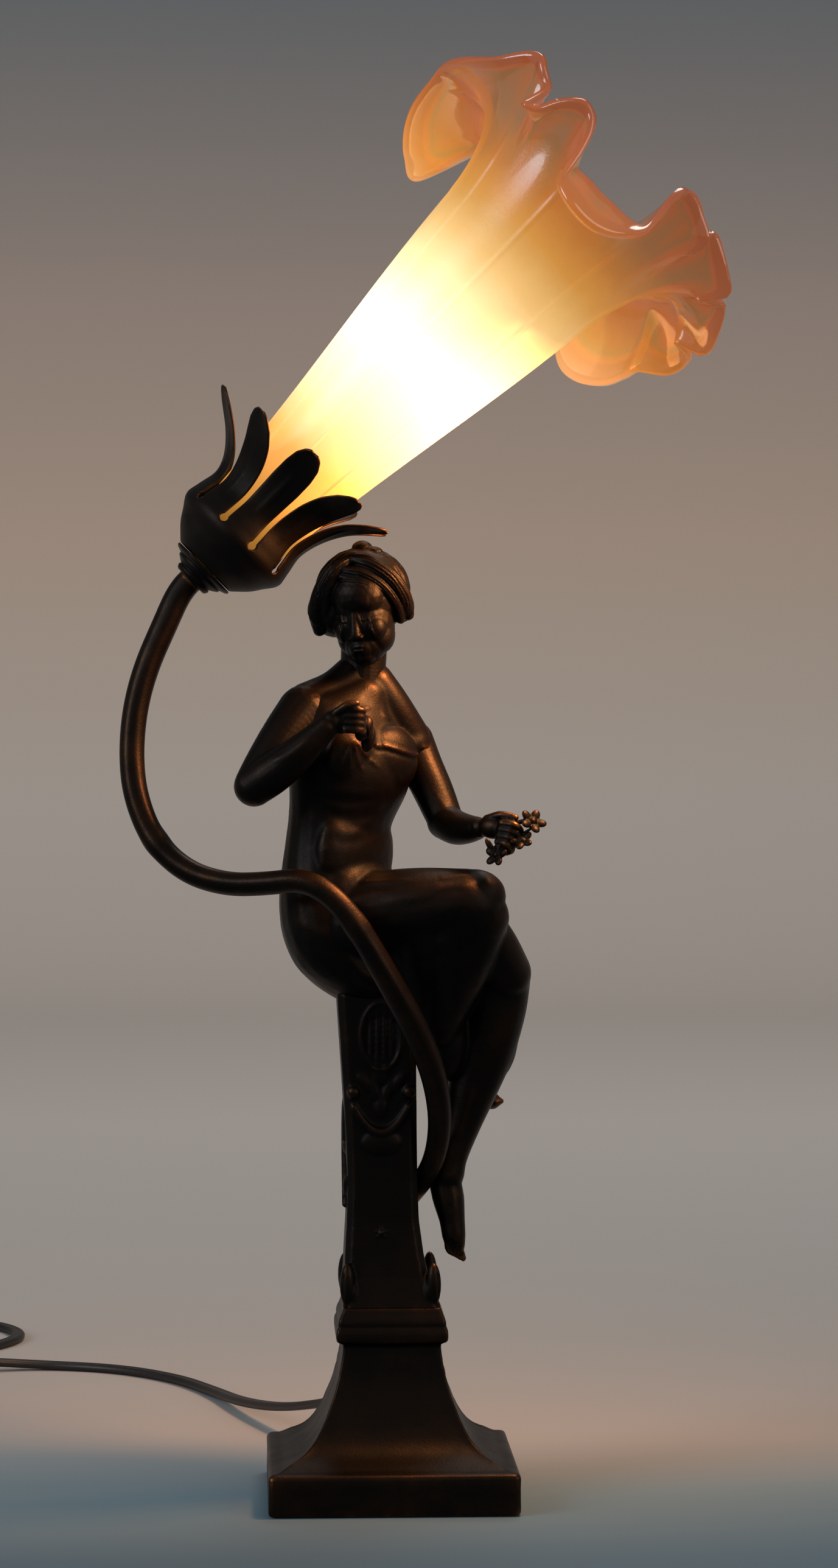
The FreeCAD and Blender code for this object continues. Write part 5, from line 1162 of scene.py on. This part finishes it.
# %% Arms
right_arm = [(-29.5, -9.0, 267.0, 9.2), (-36.0, -14.5, 258.8, 8.2), (-42.5, -19.5, 249.0, 7.4),
             (-46.4, -22.5, 242.4, 6.9)]
right_forearm = [(-46.4, -22.5, 242.2, 6.9), (-39.5, -26.0, 247.0, 6.9),
                 (-31.0, -28.8, 253.8, 5.8), (-22.5, -30.4, 262.0, 4.0)]
fist = [((-17.0, -29.0, 264.6), (5.6, 4.6, 4.6), turned_by(0, -25)),
        ((-20.4, -30.2, 264.0), (3.9, 3.8, 3.8))]
fingers = []
for number in range(4):
    lift = 268.0 - 2.2 * number
    fingers.append(limb([(-16.0, -32.4, lift, 1.5), (-12.6, -32.8, lift - 0.2, 1.55),
                         (-10.4, -31.0, lift - 0.6, 1.45), (-11.2, -28.4, lift - 1.0, 1.3)]))
fingers.append(limb([(-19.0, -32.2, 267.0, 1.6), (-15.6, -33.4, 269.2, 1.55),
                     (-12.6, -32.8, 270.0, 1.35)]))
gathered = eggs([((-9.8, -26.0, 261.6), (3.0, 3.0, 4.6), turned_by(0, 20)),
                 ((-8.2, -23.0, 258.0), (2.4, 2.4, 4.6), turned_by(0, 12))])
creases = [(((-41, -31, 250), (-34, -34, 253.5), (-26, -34.5, 260)), 1.6, 0.25),
           (((-9.6, -29.5, 266), (-9.0, -29, 261), (-7.4, -27, 256)), 0.5, -0.4),
           (((-11.6, -30, 262), (-10.6, -29, 258.6), (-9.6, -27.4, 255)), 0.5, 0.3)]
cast_piece("right_arm", "figure_right_arm",
           [limb(right_arm), limb(right_forearm), eggs(fist), gathered] + fingers, 0.42, 5,
           creases, 0.7)

left_arm = [(7.6, 11.0, 256.6, 7.8), (11.2, 8.0, 248.0, 7.3), (15.0, 4.4, 239.5, 6.9),
            (18.6, 0.4, 230.6, 6.2)]
left_forearm = [(18.6, 0.4, 229.6, 6.2), (22.2, -7.0, 227.8, 5.9), (26.0, -15.0, 227.6, 4.8),
                (29.4, -21.6, 228.2, 3.6)]
palm = [((33.4, -25.4, 228.4), (5.6, 3.4, 3.9), turned_by(-32, 4)),
        ((36.6, -27.6, 227.4), (4.4, 3.2, 3.9), turned_by(-32, 8))]
fingers = []
for number in range(4):
    drop = 2.1 * number
    fingers.append(limb([(36.2 - 0.5 * number, -30.0, 230.0 - drop, 1.35),
                         (40.0 - 0.8 * number, -32.4, 229.4 - drop, 1.4),
                         (42.2 - 1.0 * number, -31.0, 227.4 - drop, 1.35),
                         (40.6 - 1.0 * number, -28.6, 226.4 - drop, 1.2)]))
fingers.append(limb([(31.4, -24.6, 231.2, 1.6), (36.0, -28.0, 232.6, 1.55),
                     (40.6, -30.4, 231.8, 1.3)]))
cast_piece("left_arm", "figure_left_arm",
           [limb(left_arm), limb(left_forearm), eggs(palm)] + fingers, 0.42, 5,
           [(((13, 0, 242), (19, -6, 234), (25, -14, 232)), 1.6, 0.2)], 0.7)

# %% Posy of three flowers
blooms = []
in_hand = Vector((38.6, -29.6, 228.6))
for centre, radius, face_up in (((46.2, -31.5, 230.4), 3.2, 30), ((42.6, -33.4, 224.2), 2.7, -20),
                                ((34.4, -31.0, 219.4), 2.9, -60)):
    centre = Vector(centre)
    lean = turned_by(0, face_up) @ turned_by(0, 0, 50)
    rows = [(centre, radius * 0.5)]
    for number in range(5):
        spoke = turned_by(72 * number + 20)
        out = lean @ (spoke @ Vector((radius * 0.85, 0, 0.4)))
        rows.append((centre + out, (radius * 0.68, radius * 0.5, radius * 0.28),
                     lean @ spoke @ turned_by(0, -16)))
    between = (in_hand + centre) / 2 + Vector((0, -1, 1))
    blooms += [eggs(rows), limb([(*in_hand, 0.9), (*between, 0.85), (*centre, 0.9)])]
leaf_rows = [((37.6, -31.8, 221.8), (1.2, 0.6, 3.0), turned_by(30, 40)),
             ((44.0, -31.0, 227.0), (3.0, 1.2, 0.5), turned_by(-40, -30)),
             ((32.0, -29.6, 222.6), (1.1, 0.6, 2.8), turned_by(-20, -30))]
cast_piece("posy_in_hand", "posy", blooms + [eggs(leaf_rows)], 0.26, 2)

# %% [markdown]
# ## The head
# The head follows the proportions that drawing books teach: the eyes lie halfway down,
# the face is five eyes wide, and hairline, brows, nose and chin are a third apart. It is
# drawn upright about its own centre, then turned to the figure's right and bent down.
# The hair is waved back from a parting into a roll over each ear and a small knot.

# %% Face
HEAD_AT = Vector((-8.4, -3.6, 301.9))
HEAD_SCALE = 1.07
head_turn = turned_by(-23, -5, 12)


def on_head(x, y, z):
    return HEAD_AT + head_turn @ Vector((x, y, z)) * HEAD_SCALE


face_rows = [((0, 2.0, 3.4), (11.2, 13.0, 13.4)), ((0, -2.6, -3.8), (9.4, 10.0, 12.4)),
             ((0, -4.4, -9.6), (7.4, 7.6, 7.0)), ((0, -7.4, -13.0), (4.2, 4.2, 3.8)),
             ((0, -5.8, 5.0), (8.8, 7.0, 8.0)), ((0, -8.4, -10.4), (4.6, 4.2, 4.4))]
for side in (-1, 1):
    face_rows += [((4.6 * side, -7.4, -5.0), (4.0, 4.2, 4.6)),
                  ((1.5 * side, -12.5, -6.8), (1.0, 1.1, 0.85)),
                  ((5.0 * side, -3.4, -8.0), (4.2, 6.4, 6.0))]
face_rows = [(on_head(*centre), [HEAD_SCALE * s for s in size], head_turn)
             for centre, size in face_rows]
nose = limb([(*on_head(0, y, z), radius) for y, z, radius in (
    (-10.6, 1.6, 1.5), (-11.5, -2.0, 1.6), (-12.4, -5.0, 1.75), (-12.7, -6.2, 1.75))])
neck = limb([(-11.2, 3.0, 268.0, 10.4), (-10.0, 3.0, 275, 8.6), (-9.2, 2.6, 283, 7.9),
             (-8.8, 2.2, 291, 8.0)])
hair_rows = [((-9.4, 1.6, 308.2), (16.2, 15.0, 14.8), turned_by(0, -4)),
             ((-18.4, -0.2, 301.4), (8.9, 10.2, 9.2), turned_by(0, 8)),
             ((-2.0, 0.4, 305.0), (7.6, 10.4, 8.0), turned_by(0, -30)),
             ((1.2, -1.6, 302.4), (6.4, 8.2, 4.6), turned_by(0, 28)),
             ((-8.6, 10.4, 301.0), (11.6, 7.4, 9.6)), ((-8.8, 13.6, 298.0), (6.4, 5.0, 5.8)),
             ((-9.6, 0.4, 322.4), (3.6, 3.6, 2.9)), ((-6.0, -1.0, 321.0), (3.4, 3.4, 2.2))]
# Separate locks fall from the parting: two to the right side of the face, three to the left.
lock_lines = [[(-12.5, -8.0, 319.0, 2.2), (-18.4, -10.8, 315.4, 3.0), (-23.0, -9.4, 308.6, 3.2),
               (-25.2, -6.4, 301.4, 3.0), (-24.2, -4.4, 294.8, 2.3)],
              [(-19.6, -11.4, 312.4, 2.0), (-22.0, -10.2, 306.6, 2.3), (-22.0, -7.4, 300.0, 2.0)],
              [(-13.6, -9.4, 318.6, 2.0), (-7.0, -12.4, 316.6, 3.0), (0.0, -11.6, 311.6, 3.3),
               (4.2, -8.0, 305.2, 3.1), (5.6, -4.6, 300.2, 2.2)],
              [(-16.4, -11.8, 314.8, 1.7), (-10.0, -13.8, 313.4, 2.3), (-3.6, -13.0, 309.8, 2.4),
               (1.4, -9.8, 304.0, 2.2), (3.0, -6.6, 298.6, 1.8)],
              [(-17.4, -12.2, 312.6, 1.2), (-13.4, -13.6, 311.6, 1.5), (-8.4, -13.6, 309.8, 1.4)]]
# Soft, wide strokes model the sockets, brows, cheeks, lips and chin on the oval of the face.
strokes = []
for side in (-1, 1):
    for width, height, line in (
            (2.6, -0.62, ((2.0, -0.2), (4.6, 0.2), (7.0, -0.4))),
            (1.6, 0.3, ((1.8, 2.7), (4.8, 3.4), (8.0, 2.2))),
            (1.5, 0.42, ((3.0, -1.3), (4.6, -1.1), (6.2, -1.4))),
            (0.45, -0.2, ((2.6, -1.7), (4.6, -2.1), (6.6, -1.7))),
            (2.8, 0.4, ((4.6, -5.0), (6.4, -4.4))), (1.6, -0.2, ((2.3, -6.8), (3.6, -8.6)))):
        strokes.append((tuple(on_head(x * side, -14, z) for x, z in line), width, height, 0.3))
for width, height, line in (
        (0.9, 0.32, ((-3.2, -10.1), (-1.2, -9.6), (0, -9.8), (1.2, -9.6), (3.2, -10.1))),
        (1.0, 0.34, ((-2.6, -11.3), (0, -11.8), (2.6, -11.3))),
        (0.38, -0.42, ((-3.4, -10.7), (-1.2, -10.6), (0, -10.8), (1.2, -10.6), (3.4, -10.7))),
        (1.2, -0.35, ((-2.2, -13.2), (0, -13.4), (2.2, -13.2))),
        (2.0, 0.3, ((-1.0, -15.4), (0, -15.6), (1.0, -15.4)))):
    strokes.append((tuple(on_head(x, -15, z) for x, z in line), width, height, 0.12))


def strand(line, up, groove, shift, fade):
    """A raised strand with a groove beside it: (width, height) of each, and the way between."""
    strokes.append((line, *up, fade))
    strokes.append(([tuple(a + b for a, b in zip(p, shift)) for p in line], *groove, fade))


for line in lock_lines:
    for rise in (-1.6, -0.55, 0.55, 1.6):
        strand([(x, y - 2.0, z + rise) for x, y, z, _ in line], (0.42, 0.26), (0.36, -0.28),
               (0, 0, 0.55), 0.2)
# Strands run from the crown over each side and down to the ears, and back to the knot of hair.
for side in (-1, 1):
    for number in range(13):
        y = -7.0 + 1.8 * number
        reach = math.sqrt(max(1 - (y / 18.0) ** 2, 0.1))
        sway = 0.8 * math.sin(1.7 * number)
        line = [(1.0, y * 0.6, 325.0), (8.5 * reach, y * 0.85, 321.0 + sway),
                (15.0 * reach, y + sway, 313.0), (18.0 * reach, y + 0.5, 304.0 + sway),
                (17.5 * reach, y * 0.9, 298.0), (12.0 * reach, y * 0.8, 292.0)]
        strand([(-9.6 + side * out, along, z) for out, along, z in line], (0.55, 0.3),
               (0.45, -0.3), (0.2, 1.05, 0), 0.15)
for number in range(9):
    x = -18.0 + 2.4 * number
    strand([(x * 0.6 - 3.4, 6.0, 323.0), (x, 13.0, 315.0), (x, 17.5, 306.0),
            (x * 0.7 - 2.6, 20.0, 297.0)],
           (0.6, 0.35), (0.5, -0.35), (1.2, 0, 0), 0.15)
cast_piece("figure_head_and_hair", "figure_head",
           [eggs(face_rows), nose, neck, eggs(hair_rows)] + [limb(line) for line in lock_lines],
           0.31, 5, strokes, 0.6)

# %% [markdown]
# ## The rest of the model's parts
# Hidden metal, felt, plastic and porcelain keep the model's own shapes, which are as
# exact as a drawing can be. Each one only gets its finish, and a fine bevel where a
# moulded or turned edge would catch the light.

# %% Finishes for the model's own parts
def dress(finish, bevel, *names):
    """Gives the model's own parts a finish, and a bevel of so many millimetres."""
    for name in names:
        piece = nodes[name]
        piece.data.materials.clear()
        piece.data.materials.append(finish)
        if bevel:
            edge = piece.modifiers.new("edge", 'BEVEL')
            edge.width = bevel * MM
            edge.segments = 2
            edge.limit_method = 'ANGLE'
            edge.angle_limit = math.radians(40)


warm_glass, tree, shader, where = new_finish("lit_bulb_glass")
glow = ramp(tree, noise(tree, where, 40.0, 2.0), [(0.3, "FFD890"), (0.7, "FFE6B4")])
fill(tree, shader, {"Base Color": glow, "Emission Color": glow, "Emission Strength": 4.0,
                    "Roughness": 0.4})

dress(zinc_steel, 0, "bottom_plate", "tie_rod", "tie_nut", "tie_washer", "plate_screws",
      "switch_screws")
dress(turned_brass, 0, "gallery_nipple", "gallery_locknut", "centre_contact")
dress(nickel_brass, 0, "bulb_cap", "plug_pins")
dress(holder_moulding, 0.25, "lampholder_cap", "lampholder_sleeve")
dress(white_porcelain, 0.3, "lampholder_insert", "terminal_block")
dress(black_pvc, 0, "cord_relief", "cord_tail", "stem_lead")
dress(black_moulding, 0.5, "switch_lower", "switch_upper", "switch_rocker", "plug_body")
dress(pressed_felt, 0.4, "base_felt")
dress(warm_glass, 0, "bulb_glass")

# %% [markdown]
# ## A wire tie round the coil
# The put-away flex is held by a paper-covered wire tie. It goes round the turns on one
# side of the coil and its two ends are twisted together and folded flat.

# %% Tie
tie_turn = math.radians(100.0)
tie_at = Vector((-212.0, 328.0, 0.0))
tie_out = Vector((math.cos(tie_turn), math.sin(tie_turn), 0.0))
tie_side = Vector((-math.sin(tie_turn), math.cos(tie_turn), 0.0))


def tie_band(route, wide, thick):
    """A flat band along a closed route of (outwards, up) points."""
    bm = bmesh.new()
    rings = []
    for k, (out, up) in enumerate(route):
        way = (Vector(route[(k + 1) % len(route)]) - Vector(route[k - 1])).normalized()
        ring = []
        for across, depth in ((-1, -1), (-0.3, -0.6), (0.3, -0.6), (1, -1), (1, 1), (0.3, 1.5),
                              (-0.3, 1.5), (-1, 1)):
            o = out + way.y * depth * thick / 2
            u = up - way.x * depth * thick / 2
            ring.append(bm.verts.new(tie_at + tie_out * o + tie_side * (across * wide / 2)
                                     + Vector((0, 0, u))))
        rings.append(ring)
    skin_rings(bm, rings + rings[:1], capped=False)
    return mesh_from(bm)


corner_route = [(13.4, 0.7), (26.0, 0.6), (38.6, 0.7), (39.9, 1.6), (40.0, 4.6), (39.4, 7.6),
                (38.4, 8.1), (26.0, 8.2), (14.0, 8.1), (12.9, 7.4), (12.5, 4.4), (12.6, 1.5)]
dense_route = flowing(corner_route + corner_route[:1], 6)[:-1]
tie_mesh = tie_band([tuple(p) for p in dense_route], 4.2, 0.7)
twist = [tie_at + tie_out * (40.2 + 0.9 * k) + Vector((0, 0, 3.6 - 0.25 * k))
         + tie_side * (0.8 * math.sin(2.2 * k)) for k in range(10)]
bm = bmesh.new()
bm.from_mesh(tie_mesh)
bm.from_mesh(limb([(*p, 0.9) for p in twist]))
tie = finish_mesh("wire_tie", drawn(bm), black_moulding, "lamp", ("cord_tie",))

# %% [markdown]
# ## The two flexes, as laid
# Each flex is laid along its route with the twin section as its bevel, and the length of
# its drawn line is printed.

# %% Cords
section = twin_section()
switch_parts = [nodes[n] for n in ("switch_lower", "switch_upper", "switch_rocker",
                                   "switch_screws")]
lead_length = lay_flex("flex_lamp_to_switch", lead_route, ("cord_lead",), section,
                             exit=(-0.012, 0.040, 0.0245), far_end="fitting", stiffness="medium",
                             lay="loose", with_pieces=switch_parts)
run_route = loop_route + coil_route + [(-217.757, 284.699, 7.0)]
run_length = lay_flex("flex_switch_to_plug", run_route, ("cord_loop", "cord_coil"),
                           section, exit=(-0.232, 0.23579, 0.0052), far_end="plug",
                      stiffness="medium",
                           lay="coiled", with_pieces=[nodes["plug_body"], nodes["plug_pins"], tie])
print("whole flex in metres:", round(lead_length + run_length, 3))
bpy.data.objects.remove(section)
